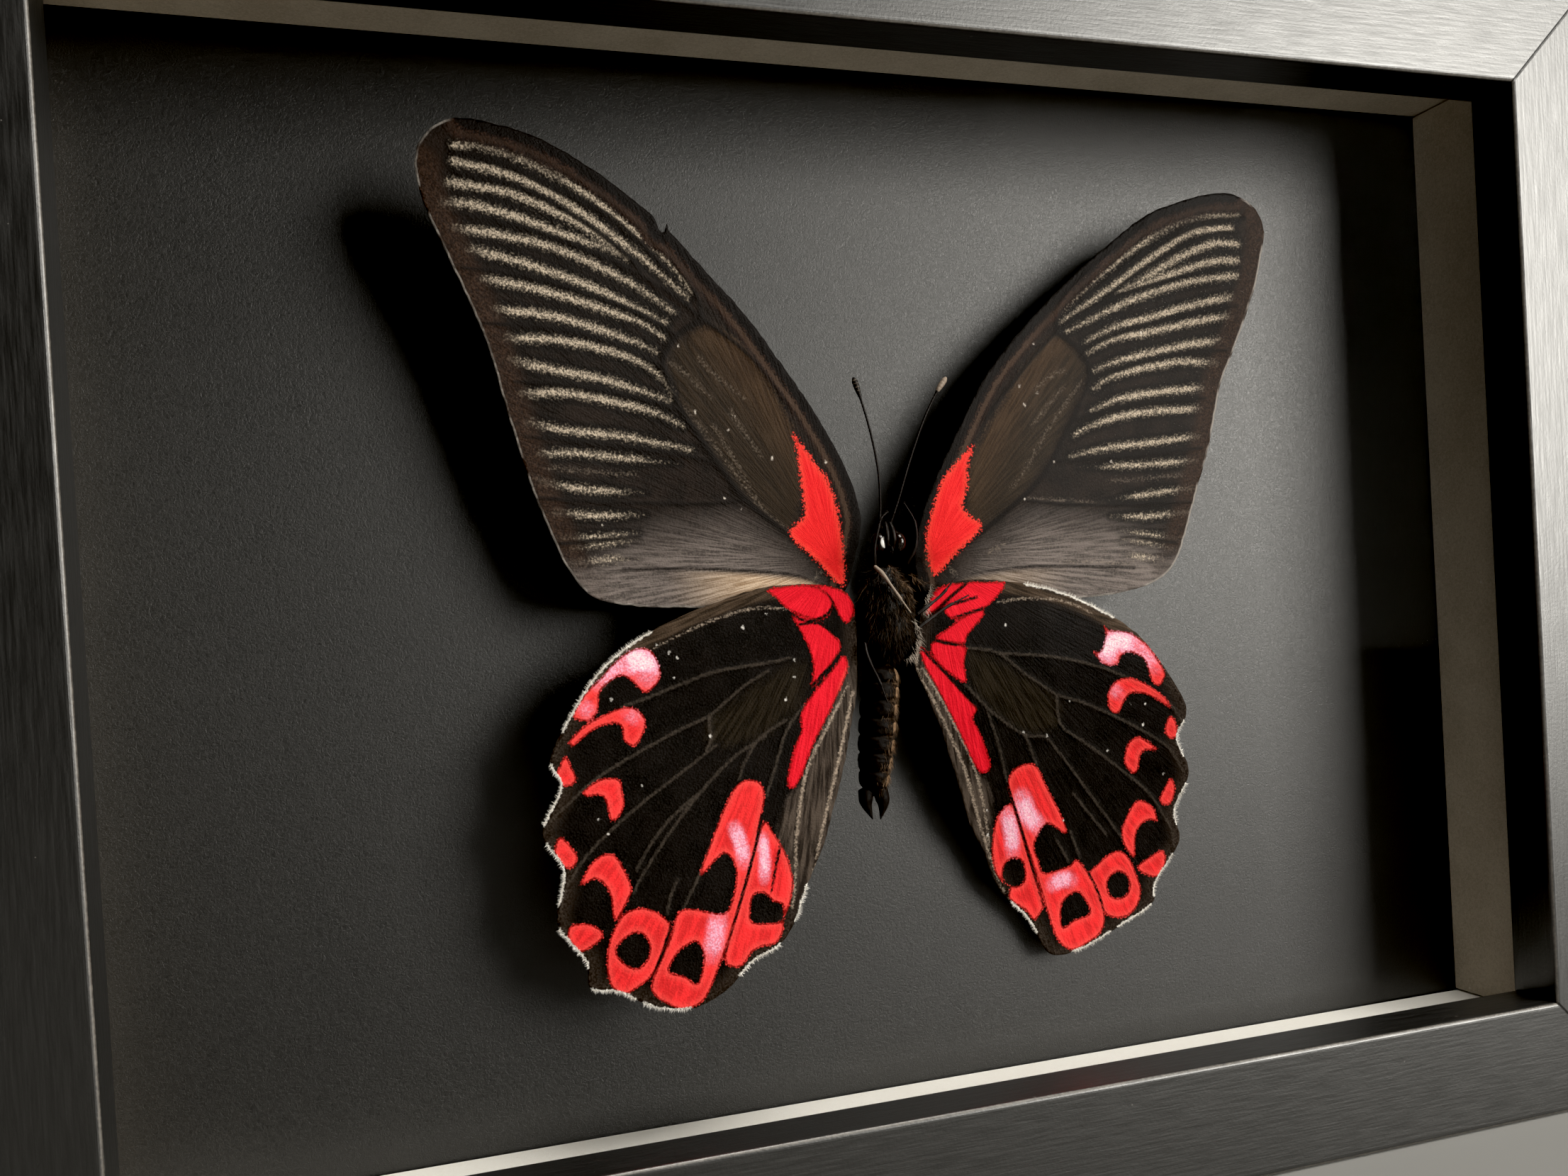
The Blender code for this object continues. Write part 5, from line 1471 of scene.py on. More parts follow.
@dataclass
class Hindwing(Wing):
    """A hindwing, which lies in front of the forewing and lifts evenly."""

    base_depth: float = 11.75
    lift: float = 1.5

    def depth(self, reach: Array) -> Array:
        """Return the depth of the wing's front at so many millimetres from its root."""
        return self.base_depth - self.lift * np.minimum(1.0, reach / 50.0)

    def settle(self, flat: Array, reach: Array) -> Array:
        """Return how far the right wing's spots have settled back towards the board."""
        return 8.5 * ease(-flat[:, 1], 4.0, 48.0)

    def layers(self, flat: Array, ring: Array) -> dict[str, Array]:
        """Measure every mark at each spot, with the places on the red ones where a sheen is painted."""
        held = super().layers(flat, ring)
        held["red"] = np.minimum(held["red"], -held.pop("hole"))
        held["crimson"] = ease(held["crimson"], -0.3, 0.3)
        shine = np.zeros(len(flat))
        for line in self.shape.shine:
            gap, share = off_path(flat, curve_through(line.path, 0.4))
            glow = (1.0 - ease(gap, 0.25 * line.half, line.half)) * line.start
            shine = np.maximum(shine, glow * ease(share, -0.15, 0.2) * ease(share, 1.15, 0.7))
        held["shine"] = shine
        held["fringe"] = np.full(len(flat), -1.0)
        for run, half in self._fringed(ring):
            near = near_box(flat, run, 1.5)
            inside = 0.75 * half - off_path(flat[near], run)[0]
            held["fringe"][near] = np.maximum(held["fringe"][near], inside)
        return held

    def _fringed(self, ring: Array) -> list[tuple[Array, float]]:
        """Find the lengths of the wing's edge that carry white scales.

        Args:
            ring: the wing's outline.

        Returns:
            Each length, as one row for each point, with how wide its scales are.
        """
        runs = []
        for line in self.shape.strokes["fringe"]:
            near = off_path(ring, curve_through(line.path, 0.4))[0] < 1.0
            start = int(np.flatnonzero(~near)[0])
            turned, kept = np.roll(ring, -start, axis=0), np.flatnonzero(np.roll(near, -start))
            for part in np.split(kept, np.flatnonzero(np.diff(kept) > 1) + 1):
                if len(part) > 2:
                    runs.append((turned[part], line.half))
        return runs

    def fringe(self, coat: Coat) -> Piece:
        """Grow the white scales that stand out from the wing's edge.

        Args:
            coat: the coat to grow, one scale on each point.

        Returns:
            The fringe.
        """
        ring = self._outline()
        rng = np.random.default_rng(coat.seed)
        spots, lays = [], []
        for run, half in self._fringed(ring):
            path = curve_through(tuple(map(tuple, run)), 0.05)
            ahead = np.gradient(path, axis=0)
            ahead /= np.linalg.norm(ahead, axis=1)[:, None] + 1e-9
            out = np.column_stack((ahead[:, 1], -ahead[:, 0]))
            out[inside_depth(path + 0.5 * out, ring) > 0] *= -1
            shift = rng.uniform(-0.8 * half, 0.02, len(path))
            spots.append(self.stand(path + shift[:, None] * out, -0.07 - 0.06 * rng.random(len(path))))
            lays.append(np.column_stack((out[:, 0], np.full(len(out), -0.12), out[:, 1])))
        ground = mesh_of("fringe", np.vstack(spots), [], {"lay": np.vstack(lays)})
        return coat.grow(ground, "wing_membrane")


# ---------------------------------------------------------------------- body


# Courses on the body, as across,depth,up in millimetres.
ANTENNAE = {
    "antenna_left": line("-1.5,11.4,6.1 -1.4,11,9 -1.5,10.9,12.5 -2.1,10.9,16.5 -3,10.9,20.2 -3.9,11,23.3"),
    "antenna_right": line("-0.2,11.4,6.1 0.9,11,9 2.6,10.9,13.6 4.6,10.9,18.2 6.4,10.9,21.4 7.9,11,23.4"),
}
LEGS = {
    "leg_fore_left": line("-2.9,10.2,1.2 -3,9.6,3.4 -2.2,9.4,6.4 -1.3,9.5,7.4"),
    "leg_fore_right": line("1.2,10.2,1.4 2.2,9.6,3.6 2.1,9.4,6.2 1,9.4,8.3"),
    "leg_mid_left": line("-3.2,9.4,1.2 -2.4,8.95,0.2 -0.8,8.82,-2.2 0.8,8.95,-4.4"),
    "leg_mid_right": line("2.2,10.3,-4.6 3.3,10.3,-3.9 5.6,10.5,-2.4 7.6,10.6,-0.4"),
    "leg_hind_left": line("-4.6,10.4,-7.6 -4.4,10.2,-9.2 -3.4,9.4,-12.2 -2.6,9.3,-14.6"),
    "leg_hind_right": line("2,10.3,-6.4 3.6,10.4,-5.4 6.2,10.5,-3.9 9,10.6,-2.7"),
}
PALE_TUFTS = (
    line("4.4,10.6,-1.2 3.7,10.5,-2.8 3.2,10.5,-4.6"),
    line("1.4,9.7,-5.2 2.2,10.3,-7.3 1.5,10.7,-9.3 0.8,11,-9.9"),
)
BROWN_TUFTS = (
    line("-1.4,9.3,1.2 -0.4,9,-0.4 0.7,9.1,-1.6"),
    line("1.2,9.6,0.2 2.4,10.4,-0.6 3.4,10.9,-0.8"),
)
# The abdomen's line and its radius, as across,up,radius in millimetres.
ABDOMEN_RINGS = line("""
    -2.1,-10.3,1.2 -2.2,-11.2,2 -2.5,-13.2,2.25 -2.8,-15.6,2.2 -3.1,-18,2.2 -3.4,-20.4,2.1
    -3.7,-22.6,1.9 -3.9,-24.4,1.6 -4,-25.2,0.9
""")
# A palp's course from the head's centre, for the right-hand side.
PALP = line("0.35,-1.2,-0.8 0.42,-1.9,0.3 0.36,-1.8,1.6 0.25,-1.3,2.5")
EYES = {"eye_left": (-1.8, 11.3, 4.0), "eye_right": (0.7, 11.5, 4.0)}
CLASPERS = {
    "clasper_left": ((-4.9, -24.9), (-5.0, -26.4), (-4.4, -28.3)),
    "clasper_right": ((-3.1, -25.0), (-2.9, -26.6), (-3.4, -28.4)),
}


BODY_SLOT = "insect_body"
FORE_AND_AFT = (0.0, 1.0, 0.0)


def unit(row: Array) -> Array:
    """Scale a direction to length one."""
    return row / np.linalg.norm(row)


def lengths_along(path: Array) -> Array:
    """Return how far along a path each of its points comes."""
    return np.concatenate(([0.0], np.cumsum(np.linalg.norm(np.diff(path, axis=0), axis=1))))


@dataclass
class Blob:
    """A rounded lump of the body: its centre and half-sizes as (across, depth, up)."""

    name: str
    centre: Spot
    half: Spot
    lumps: float = 0.12
    lump_scale: float = 0.5
    rounds: int = 5

    def mesh(self, pale: float = 0.0, lay: Spot = (0.0, 0.0, -1.0)) -> Mesh:
        """Build the lump.

        Args:
            pale: how pale its skin is, from 0 to 1.
            lay: the way its hairs lie.

        Returns:
            Its mesh, with the layers that skin and hair read.
        """
        shell = bmesh.new()
        bmesh.ops.create_icosphere(shell, subdivisions=self.rounds, radius=1.0)
        corners, pales = [], []
        for vertex in shell.verts:
            swell = noise.noise(vertex.co / self.lump_scale + Vector(self.centre))
            fine = noise.noise(vertex.co * 7.0 + Vector(self.centre))
            size = 1.0 + self.lumps * swell + 0.25 * self.lumps * fine
            corners.append(place(*(c + h * size * p for c, h, p in zip(self.centre, self.half, vertex.co))))
            pales.append(pale * (0.6 + 0.8 * swell))
        shell.verts.index_update()
        faces = [tuple(v.index for v in face.verts) for face in shell.faces]
        shell.free()
        layers = {
            "pale": np.array(pales),
            "coat": np.ones(len(corners)),
            "lay": np.tile(np.array(lay), (len(corners), 1)),
        }
        return mesh_of(self.name, np.array(corners), self._outwards(np.array(corners), faces), layers)

    def _outwards(self, corners: Array, faces: list[tuple[int, ...]]) -> list[tuple[int, ...]]:
        """Return the faces turned so that they point away from the lump's centre."""
        middle = np.array(place(*self.centre))
        a, b, c = (corners[k] for k in faces[0])
        if np.cross(b - a, c - a) @ (a - middle) > 0:
            return faces
        return [tuple(reversed(face)) for face in faces]


@dataclass
class Body:
    """The insect's body: thorax, head, eyes, abdomen, claspers, antennae, legs, mouth and hair."""

    skin: ShellFinish = ShellFinish("thorax_skin", (0.0034, 0.0026, 0.0021), (0.040, 0.028, 0.020))
    # Its light colour is partly painted light: it shows most on the abdomen's right side, where the light
    # falls.
    abdomen_skin: ShellFinish = ShellFinish(
        "abdomen_skin", (0.0036, 0.0026, 0.0021), (0.20, 0.125, 0.072), 0.5, 3.4, 0.05, 0.06
    )
    limb_skin: ShellFinish = ShellFinish(
        "limb_skin", (0.0052, 0.0036, 0.0028), (0.26, 0.205, 0.16), 0.45, 6.0, 0.02
    )
    # The eye's light colour is a painted highlight, laid on through its "pale" layer.
    eye_skin_and_highlight: ShellFinish = ShellFinish(
        "eye_skin_and_highlight", (0.008, 0.005, 0.004), (0.74, 0.72, 0.68), 0.16, 9.0, 0.008, 0.5
    )
    thorax_centre: Spot = (-1.2, 11.9, -4.1)
    thorax_half: Spot = (3.2, 2.6, 5.6)
    head_centre: Spot = (-0.8, 11.9, 3.9)
    head_half: Spot = (1.3, 1.6, 1.7)
    eye_half: Spot = (0.92, 1.3, 1.3)
    painted_glint: Spot = (-1.35, 10.9, 4.0)

    def __post_init__(self) -> None:
        """Build the finishes that the body's pieces share."""
        self.skin_material = self.skin.material()
        self.abdomen_material = self.abdomen_skin.material()
        self.limb_material = self.limb_skin.material()
        self.eye_material = self.eye_skin_and_highlight.material()
        self.dark_hair = HairFinish("dark_hair", (0.0045, 0.0032, 0.0025), (0.024, 0.016, 0.011)).material()
        self.brown_hair = HairFinish("brown_hair", (0.035, 0.021, 0.012), (0.17, 0.105, 0.060)).material()
        self.pale_hair = HairFinish("pale_hair", (0.20, 0.17, 0.14), (0.60, 0.52, 0.44)).material()

    def build(self) -> None:
        """Build every piece of the body."""
        self.build_thorax()
        self.build_head()
        self.build_abdomen()
        self.build_antennae()
        self.build_legs()
        self.build_tufts("thorax_pale_tufts", self.pale_hair, (0.45, -0.35, -0.8), PALE_TUFTS)
        self.build_tufts("thorax_brown_tufts", self.brown_hair, (0.3, -0.5, -0.6), BROWN_TUFTS)

    def build_tufts(self, name: str, hair: Material, lay: Spot, lines: tuple[Line, ...]) -> None:
        """Grow tufts of longer hair along lines on the thorax.

        Args:
            name: the tufts' name.
            hair: their finish.
            lay: the way their hairs point.
            lines: the lines, as (across, depth, up).
        """
        rng = np.random.default_rng(31)
        rows = np.vstack([curve_through(course, 0.05) for course in lines])
        spots = np.array([place(*row) for row in rows + rng.normal(0.0, 0.15, rows.shape)])
        ground = mesh_of(name, spots, [], {"lay": np.tile(np.array(lay), (len(spots), 1))})
        Coat(name, hair, 0.95, 0.034, Sowing.ON_POINTS, spread=0.55, seed=31).grow(ground)

    def build_thorax(self) -> None:
        """Build the thorax and its coat of dark hair, with brown hair at its upper right."""
        thorax = Blob("thorax", self.thorax_centre, self.thorax_half, 0.13, 0.45)
        mesh = thorax.mesh(pale=0.25)
        finished("thorax_lump", mesh, self.skin_material, BODY_SLOT, "thorax")
        coat = Coat("thorax_hair", self.dark_hair, 1.15, 0.032, density=34.0, stand=0.55, spread=0.5)
        coat.grow(mesh.copy())
        brown = mesh.copy()
        low = place(*self.thorax_centre)
        values = []
        for vertex in brown.vertices:
            across = (vertex.co.x - low.x) / MM
            up = (vertex.co.z - low.z) / MM
            depth = (vertex.co.y - low.y) / MM
            held = ease(-depth, -0.5, 1.0) * (0.35 + ease(across, -0.5, 2.2)) * ease(up, -4.0, 2.5)
            values.append(float(held))
        brown.attributes["coat"].data.foreach_set("value", values)
        Coat(
            "thorax_brown_hair", self.brown_hair, 1.3, 0.03, density=13.0, stand=0.4, spread=0.45, seed=8
        ).grow(brown)

    def build_head(self) -> None:
        """Build the head with its eyes, palps, coiled tongue and hair, with a highlight painted onto the
        eyes.
        """
        head = Blob("head", self.head_centre, self.head_half, 0.1, 0.5, 4)
        mesh = head.mesh(pale=0.2, lay=(0.0, -0.4, 1.0))
        across, depth, up = self.head_centre
        parts = [self._mesh_parts(mesh)]
        for side in (-1.0, 1.0):
            course = [(across + side * a, depth + d, up + u) for a, d, u in PALP]
            palp = curve_through(course, 0.12)
            widths = 0.30 * np.sin(np.linspace(0.5, math.pi - 0.25, len(palp))) + 0.03
            parts.append(self._tube_part(palp, widths, 0.35))
        turns = np.linspace(0.0, 2.4 * math.tau, 90)
        coil = np.column_stack(
            (
                np.full(90, across + 0.05) + 0.004 * turns,
                depth - 1.75 - (0.95 - 0.05 * turns) * np.cos(turns) * 0.55,
                up - 1.0 + (0.95 - 0.05 * turns) * np.sin(turns) * 0.62,
            )
        )
        parts.append(self._tube_part(coil, np.linspace(0.13, 0.07, 90), 0.1))
        skull = mesh_of("head_with_palps", *joined(parts))
        finished("head_with_palps", skull, self.skin_material, BODY_SLOT, "head")
        coat = Coat("head_hair", self.dark_hair, 0.8, 0.028, density=42.0, stand=0.7, spread=0.6, seed=5)
        coat.grow(mesh.copy())
        for name, spot in EYES.items():
            eye = Blob(name, spot, self.eye_half, 0.0, 0.5, 4).mesh()
            # Paint a highlight onto the eye: its "pale" layer rises near the chosen highlight spot.
            gaps = [(v.co - place(*self.painted_glint)) / MM for v in eye.vertices]
            away = [math.hypot(gap.x, gap.z) + max(0.0, gap.y) for gap in gaps]
            eye.attributes["pale"].data.foreach_set("value", ease(np.array(away), 0.85, 0.5).tolist())
            finished(f"{name}_ball", eye, self.eye_material, BODY_SLOT, name)

    def _mesh_parts(self, mesh: Mesh) -> Part:
        """Take a lump's corners, faces and paleness out of its mesh."""
        corners = np.array([tuple(vertex.co) for vertex in mesh.vertices])
        pale = np.array([item.value for item in mesh.attributes["pale"].data])
        return corners, [tuple(face.vertices) for face in mesh.polygons], {"pale": pale}

    def _tube_part(
        self, path: Array, radii: Array, pale: float | Array, sides: int = 9, squash: float = 1.0
    ) -> Part:
        """Build a tube with one paleness, or with one for each point of its path."""
        corners, faces, along = tube(path, radii, sides, squash)
        if np.ndim(pale):
            values = np.interp(along, np.linspace(0, 1, len(path)), pale)
        else:
            values = np.full(len(corners), float(pale))
        return corners, faces, {"pale": values}

    def build_abdomen(self) -> None:
        """Build the abdomen with its segments, side folds, claspers and down, with light painted on its right
        side.
        """
        run = curve_through(ABDOMEN_RINGS, 0.11)
        travelled = lengths_along(run[:, :2])
        length = travelled[-1]
        segment = length / 7.2
        phase = (travelled / segment) % 1.0
        groove = np.exp(-((np.minimum(phase, 1 - phase) / 0.10) ** 2))
        swell = 1.0 + 0.05 * np.sin(math.pi * phase)
        radii = run[:, 2] * swell * (0.97 - 0.07 * groove)
        path = np.column_stack((run[:, 0], np.full(len(run), self.thorax_centre[1]), run[:, 1]))
        corners, faces, along = tube(path, radii, 40, 0.9)
        share = np.interp(along, np.linspace(0, 1, len(path)), phase)
        low = np.array(place(0.0, self.thorax_centre[1], 0.0))
        pale, down, shifted = [], [], corners.copy()
        for k, corner in enumerate(corners):
            across, back, up = (corner - low) / MM
            middle = np.interp(-up, -run[:, 1], run[:, 0])
            half = max(0.3, float(np.interp(-up, -run[:, 1], run[:, 2])))
            side = (across - middle) / half
            # Painted light: the pale spots, the pale bands and the brown down all lean to the abdomen's right
            # side, the side the light falls on.
            lit_side_bead = math.exp(-(((side - 0.80) / 0.16) ** 2)) * ease(abs(share[k] - 0.5), 0.42, 0.2)
            ventral = math.exp(-(((side - 0.1) / 0.22) ** 2)) * (0.4 if back < 0 else 0.0)
            band = math.exp(-((min(share[k], 1 - share[k]) / 0.09) ** 2)) * 0.45
            grain = noise.noise(Vector((across * 2.4, back * 2.4, up * 2.4)))
            pale.append(1.2 * lit_side_bead + 0.25 * ventral + band * ease(side, -0.3, 0.7) + 0.14 * grain)
            down.append(float(ease(side, -0.1, 0.8)))
            shifted[k, 1] += (0.10 * grain + 0.16 * lit_side_bead) * -MM * np.sign(-back or 1)
        layers = {
            "pale": np.array(pale),
            "coat": np.array(down),
            "lay": np.tile(np.array((-0.1, 0.0, -1.0)), (len(corners), 1)),
        }
        mesh = mesh_of("abdomen_segments", shifted, faces, layers)
        finished("abdomen_segments", mesh, self.abdomen_material, BODY_SLOT, "abdomen")
        coat = Coat("abdomen_down", self.brown_hair, 0.7, 0.028, density=24.0, stand=0.3, spread=0.4, seed=12)
        coat.grow(mesh.copy())
        for name, points in CLASPERS.items():
            deep = self.thorax_centre[1]
            route = curve_through(tuple((a, deep - 0.2 * k, u) for k, (a, u) in enumerate(points)), 0.15)
            widths = np.interp(np.linspace(0, 1, len(route)), (0, 0.35, 1), (0.95, 0.85, 0.06))
            piece = mesh_of(f"{name}_valve", *self._tube_part(route, widths, 0.1, 16, 0.8))
            finished(f"{name}_valve", piece, self.abdomen_material, BODY_SLOT, name)

    def build_antennae(self) -> None:
        """Build the antennae: ringed stalks with a club, with a highlight painted on the right one's club."""
        for name, points in ANTENNAE.items():
            route = curve_through(points, 0.07)
            travelled = lengths_along(route)
            left = travelled[-1] - travelled
            ring = 0.5 + 0.5 * np.cos(travelled * math.tau / 0.42)
            club = ease(left, 2.9, 1.0) * ease(left, -0.15, 0.5)
            widths = (0.115 + 0.028 * (1 - ring**4)) * (1 + 0.2 * ease(left, 16.0, 18.0)) + 0.22 * club
            # The right club is painted much paler than the left: a painted highlight where the light catches
            # it.
            tip = 0.85 if name.endswith("right") else 0.25
            pale = 0.02 + 0.24 * ring**8 + tip * ease(left, 2.6, 1.4)
            stalk = mesh_of(name, *self._tube_part(route, widths, pale, 12))
            finished(f"{name}_ringed", stalk, self.limb_material, BODY_SLOT, name)

    def build_legs(self) -> None:
        """Build the legs: swollen thigh, spined shin and jointed foot with claws."""
        rng = np.random.default_rng(17)
        for name, points in LEGS.items():
            route = curve_through(points, 0.09)
            t = np.linspace(0, 1, len(route))
            stations = (0, 0.18, 0.36, 0.40, 0.70, 0.73, 1.0)
            widths = np.interp(t, stations, (0.2, 0.27, 0.2, 0.16, 0.2, 0.13, 0.10))
            foot = (t > 0.73) * (0.5 + 0.5 * np.cos(t * math.tau * 16))
            widths = widths * (1 - 0.25 * foot)
            light = np.interp(t, (0, 0.3, 0.6, 1.0), (0.0, 0.14, 0.20, 0.10))
            if name == "leg_mid_left":
                light = light + 0.7
            parts = [self._tube_part(route, widths, light, 10, 1.0)]
            for k in range(int(0.2 * len(route)), len(route) - 3, 5):
                ahead = unit(route[k + 1] - route[k])
                side = np.cross(ahead, FORE_AND_AFT) * (1 if k % 2 else -1)
                away = unit(side + 0.5 * rng.uniform(-1, 1, 3))
                tip = route[k] + 0.34 * away + 0.24 * ahead
                spine = np.array([route[k], (route[k] + tip) / 2, tip])
                parts.append(self._tube_part(spine, np.array((0.035, 0.028, 0.008)), 0.1, 4))
            for side in (-1.0, 1.0):
                ahead = unit(route[-1] - route[-3])
                across = np.cross(ahead, FORE_AND_AFT) * side
                tip = route[-1]
                claw = np.array([tip, tip + 0.18 * ahead + 0.12 * across, tip + 0.3 * ahead + 0.06 * across])
                parts.append(self._tube_part(claw, np.array((0.06, 0.04, 0.01)), 0.1, 5))
            limb = mesh_of(name, *joined(parts))
            finished(f"{name}_jointed", limb, self.limb_material, BODY_SLOT, name)


# --------------------------------------------------------------------- frame


@dataclass
class Moulding:
    """The four mitred mouldings, each swept from one eased profile."""

    inner_round: float = 0.6
    outer_round: float = 0.9
    edge_round: float = 0.3
    rabbet_round: float = 0.05
    gap: float = 0.3
    mitre_gap: float = 0.03
    mitre_edge: float = 0.28
    mitre_dip: float = 0.10
    support: float = 0.7

    def __post_init__(self) -> None:
        """Read the opening and the members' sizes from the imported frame."""
        top_low, top_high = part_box("frame_top")
        left_low, left_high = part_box("frame_left")
        self.open_wide = (CENTRE_ACROSS - left_high.x) / MM
        self.open_tall = (top_low.z - CENTRE_UP) / MM
        self.face = (left_high.x - left_low.x) / MM
        self.deep = (top_high.y - top_low.y) / MM

    def profile(self) -> tuple[Array, Array]:
        """Return the section as (outward, depth) in millimetres, and where it is an arris."""
        spacer_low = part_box("spacer_left")[0]
        lip = (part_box("glass")[0].y - CAD_LOW.y) / MM - self.gap
        rabbet = (CENTRE_ACROSS - spacer_low.x) / MM - self.open_wide + self.gap
        turns = (
            (0.0, 0.0, self.inner_round), (self.face, 0.0, self.outer_round),
            (self.face, self.deep, self.edge_round), (rabbet, self.deep, self.edge_round),
            (rabbet, lip, self.rabbet_round), (0.0, lip, self.edge_round),
        )
        rows, arris = [], []
        count = len(turns)
        for k, (out, depth, size) in enumerate(turns):
            corner = np.array((out, depth))
            near = (turns[k - 1], turns[(k + 1) % count])
            toward = [unit(np.array(other[:2]) - corner) for other in near]
            seen = size > self.rabbet_round
            if seen:
                rows.append(corner + toward[0] * (size + self.support))
                arris.append(0.0)
            start, end = corner + toward[0] * size, corner + toward[1] * size
            for t in np.linspace(0, 1, 7):
                rows.append((1 - t) ** 2 * start + 2 * t * (1 - t) * corner + t * t * end)
                arris.append(math.sin(math.pi * t) if seen else 0.0)
            if seen:
                rows.append(corner + toward[1] * (size + self.support))
                arris.append(0.0)
        return np.array(rows), np.array(arris)

    def build(self) -> None:
        """Build the four members."""
        section, arris = self.profile()
        inward = np.array((self.face / 2, self.deep / 2)) - section
        sunk = section + inward / np.linalg.norm(inward, axis=1)[:, None] * self.mitre_dip
        paints = {run: MouldingPaint(run).material() for run in Run}
        sides = {
            "frame_top": (1.0, Run.ACROSS), "frame_bottom": (-1.0, Run.ACROSS),
            "frame_left": (-1.0, Run.UPRIGHT), "frame_right": (1.0, Run.UPRIGHT),
        }
        for name, (sign, run) in sides.items():
            half = self.open_wide if run is Run.ACROSS else self.open_tall
            other = self.open_tall if run is Run.ACROSS else self.open_wide
            # The arris amounts gathered here place the paint's wear colour and its painted highlight.
            corners, arris_wear_highlight_mask = [], []
            loops = (
                (-1, self.mitre_gap, sunk), (-1, self.mitre_edge, section),
                (1, self.mitre_edge, section), (1, self.mitre_gap, sunk),
            )
            for end, gap, ring in loops:
                for (out, depth), amount in zip(ring, arris):
                    along = end * (half + out - gap)
                    away = sign * (other + out)
                    corners.append(
                        place(along, depth, away) if run is Run.ACROSS else place(away, depth, along)
                    )
                    arris_wear_highlight_mask.append(amount)
            count = len(section)
            faces = [tuple(range(count)), tuple(reversed(range(3 * count, 4 * count)))]
            for k in range(3):
                faces.extend((a, b, b + count, a + count) for a, b in round_pairs(k * count, count))
            mesh = mesh_of(name, np.array(corners), faces, {"arris": np.array(arris_wear_highlight_mask)}, smooth=False)
            shell = bmesh.new()
            shell.from_mesh(mesh)
            bmesh.ops.triangulate(shell, faces=[face for face in shell.faces if len(face.verts) > 4])
            bmesh.ops.recalc_face_normals(shell, faces=shell.faces)
            shell.to_mesh(mesh)
            shell.free()
            finished(f"{name}_moulding", mesh, paints[run], "black_moulding", name)


@dataclass
class Fittings:
    """The flat parts and fittings that keep their CAD shape and get a finish."""

    card: PaperFinish = PaperFinish(
        "cream_card", (0.42, 0.36, 0.28), (0.60, 0.53, 0.43), 0.82, 0.02, 1.2, 0.01
    )
    # A lit copy of the cream card: its brighter colour is painted light falling from above onto the bottom
    # spacer.
    card_painted_lit: PaperFinish = PaperFinish(
        "card_painted_lit", (0.84, 0.81, 0.75), (0.90, 0.88, 0.83), 0.8, 0.02, 1.2, 0.01
    )
    board: PaperFinish = PaperFinish(
        "black_card", (0.0024, 0.0023, 0.0020), (0.0070, 0.0065, 0.0056), 0.46, 0.05, 1.5, 0.012, 0.74
    )
    panel: PaperFinish = PaperFinish(
        "brown_fibreboard", (0.20, 0.125, 0.070), (0.34, 0.225, 0.135), 0.75, 0.04, 0.8, 0.03
    )
    steel: SteelFinish = SteelFinish("bright_steel_finish")
    pin_steel: SteelFinish = SteelFinish("pin_steel", (0.20, 0.19, 0.18))

    def dress(self) -> None:
        """Give every kept node its finish."""
        card, board, steel = self.card.material(), self.board.material(), self.steel.material()
        panel, pin, glass = self.panel.material(), self.pin_steel.material(), GlassFinish().material()
        chosen = {"glass": glass, "mat_board": board, "back_panel": panel, "specimen_pin": pin}
        chosen |= {f"spacer_{side}": card for side in ("top", "right", "bottom", "left")}
        # The bottom spacer takes the brighter card, painted as lit from above.
        chosen["spacer_bottom"] = self.card_painted_lit.material()
        chosen |= {f"flex_point_{k}": steel for k in range(1, 7)}
        chosen |= {"hanger": steel, "rivet_left": steel, "rivet_right": steel}
        for name, material in chosen.items():
            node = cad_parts[name]
            node.data.materials.clear()
            node.data.materials.append(material)
            LOG.info("%s: dressed in %s", name, material.name)


# -------------------------------------------------------------------- studio


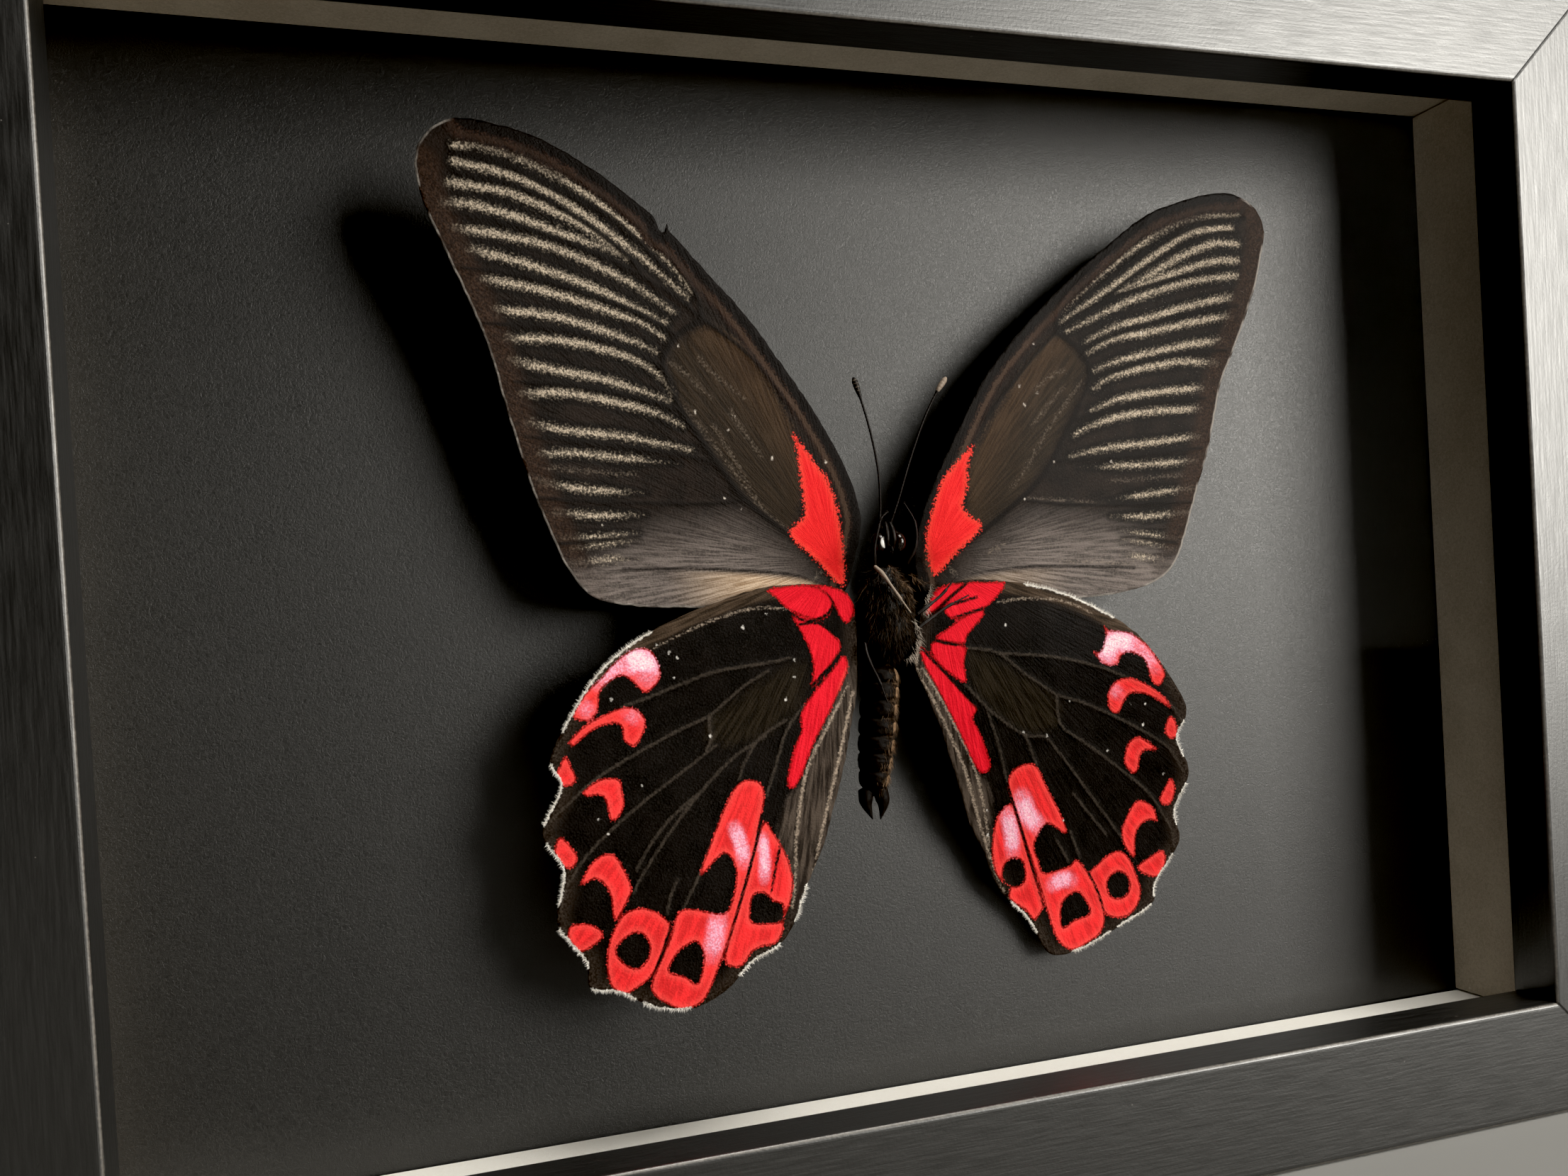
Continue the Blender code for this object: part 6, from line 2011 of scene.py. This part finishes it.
@dataclass
class Studio:
    """The camera, the lights, the floor and the grey room."""

    camera_spot: Spot = (-0.0598, -0.1464, 0.0683)
    camera_turn: Spot = (89.156, 3.277, -17.77)
    key_spot: Spot = (0.575, -0.648, 0.262)
    key_size: Point = (0.386, 0.47)
    key_power: float = 10.2
    sky_spot: Spot = (0.10, -0.20, 0.65)
    sky_power: float = 3.8
    back_spot: Spot = (0.3, 0.9, 0.6)
    back_power: float = 12.0
    black_point: float = 0.0075
    daylight: Colour = (1.0, 0.968, 0.895)

    def build(self) -> None:
        """Build the studio."""
        self._camera()
        self._lamp("window", self.key_spot, self.key_size, self.key_power, self.daylight)
        self._lamp("skylight", self.sky_spot, (0.3, 0.3), self.sky_power, self.daylight)
        self._lamp("back_lamp", self.back_spot, (0.5, 0.5), self.back_power, (1.0, 1.0, 1.0))
        self._floor()
        self._room()
        view = bpy.context.scene.view_settings
        view.view_transform = "Standard"
        view.use_curve_mapping = True
        view.curve_mapping.black_level = (self.black_point,) * 3
        view.curve_mapping.update()

    def _camera(self) -> None:
        """Place the camera."""
        lens = bpy.data.cameras.new("camera")
        lens.lens, lens.sensor_width, lens.shift_y = 30.0, 36.0, 0.0415
        lens.clip_start, lens.clip_end = 0.001, 100.0
        held = bpy.data.objects.new("camera", lens)
        held.location = self.camera_spot
        held.rotation_euler = tuple(math.radians(turn) for turn in self.camera_turn)
        bpy.context.scene.collection.objects.link(held)
        bpy.context.scene.camera = held

    def _lamp(self, name: str, spot: Spot, size: Point, power: float, colour: Colour) -> None:
        """Hang a flat lamp that faces the specimen."""
        light = bpy.data.lights.new(name, "AREA")
        light.shape, light.size, light.size_y = "RECTANGLE", *size
        light.energy, light.color = power, colour
        held = bpy.data.objects.new(name, light)
        held.location = spot
        aim = Vector((0.0, 0.0, CENTRE_UP)) - Vector(spot)
        held.rotation_euler = aim.to_track_quat("-Z", "Y").to_euler()
        bpy.context.scene.collection.objects.link(held)

    def _floor(self) -> None:
        """Lay a plain pale floor."""
        shell = bmesh.new()
        bmesh.ops.create_grid(shell, x_segments=2, y_segments=2, size=4.0)
        mesh = bpy.data.meshes.new("floor")
        shell.to_mesh(mesh)
        shell.free()
        material, g, shader = new_material("pale_floor")
        drift = g.noise(g.spot(), 0.01, 3.0)
        g.feed(shader.inputs["Base Color"], g.mix(drift, (0.205, 0.202, 0.195), (0.235, 0.232, 0.222)))
        shader.inputs["Roughness"].default_value = 0.9
        mesh.materials.append(material)
        floor = bpy.data.objects.new("floor", mesh)
        bpy.context.scene.collection.objects.link(floor)

    def _room(self) -> None:
        """Set a dim room that the camera sees as light grey."""
        world = bpy.data.worlds.new("room")
        world.use_nodes = True
        bpy.context.scene.world = world
        nodes, links = world.node_tree.nodes, world.node_tree.links
        background = nodes["Background"]
        path = nodes.new("ShaderNodeLightPath")
        strength = nodes.new("ShaderNodeMapRange")
        strength.inputs["To Min"].default_value = 0.004
        strength.inputs["To Max"].default_value = 0.22
        links.new(path.outputs["Is Camera Ray"], strength.inputs["Value"])
        background.inputs["Color"].default_value = (1.0, 0.985, 0.95, 1.0)
        links.new(strength.outputs[0], background.inputs["Strength"])


def main() -> None:
    """Build the framed specimen and its studio."""
    logging.basicConfig(level=logging.INFO, format="%(name)s: %(message)s")
    Studio().build()
    Moulding().build()
    Fittings().dress()
    fringe = HairFinish("fringe_scales", (0.74, 0.70, 0.64), (0.92, 0.89, 0.84)).material()
    for shape, glow in ((FORE_LEFT, 1.0), (FORE_RIGHT, 0.3)):
        Forewing(shape, ForewingFinish(f"{shape.name}_scales", glow=glow).material()).build()
    for side, shape in enumerate((HIND_LEFT, HIND_RIGHT)):
        wing = Hindwing(shape, HindwingFinish(f"{shape.name}_scales").material())
        wing.build()
        name = f"{shape.name}_fringe"
        coat = Coat(name, fringe, 0.4, 0.034, Sowing.ON_POINTS, spread=0.3, curl=0.15, seed=21 + side)
        wing.fringe(coat)
    Body().build()


if __name__ == "__main__":
    main()
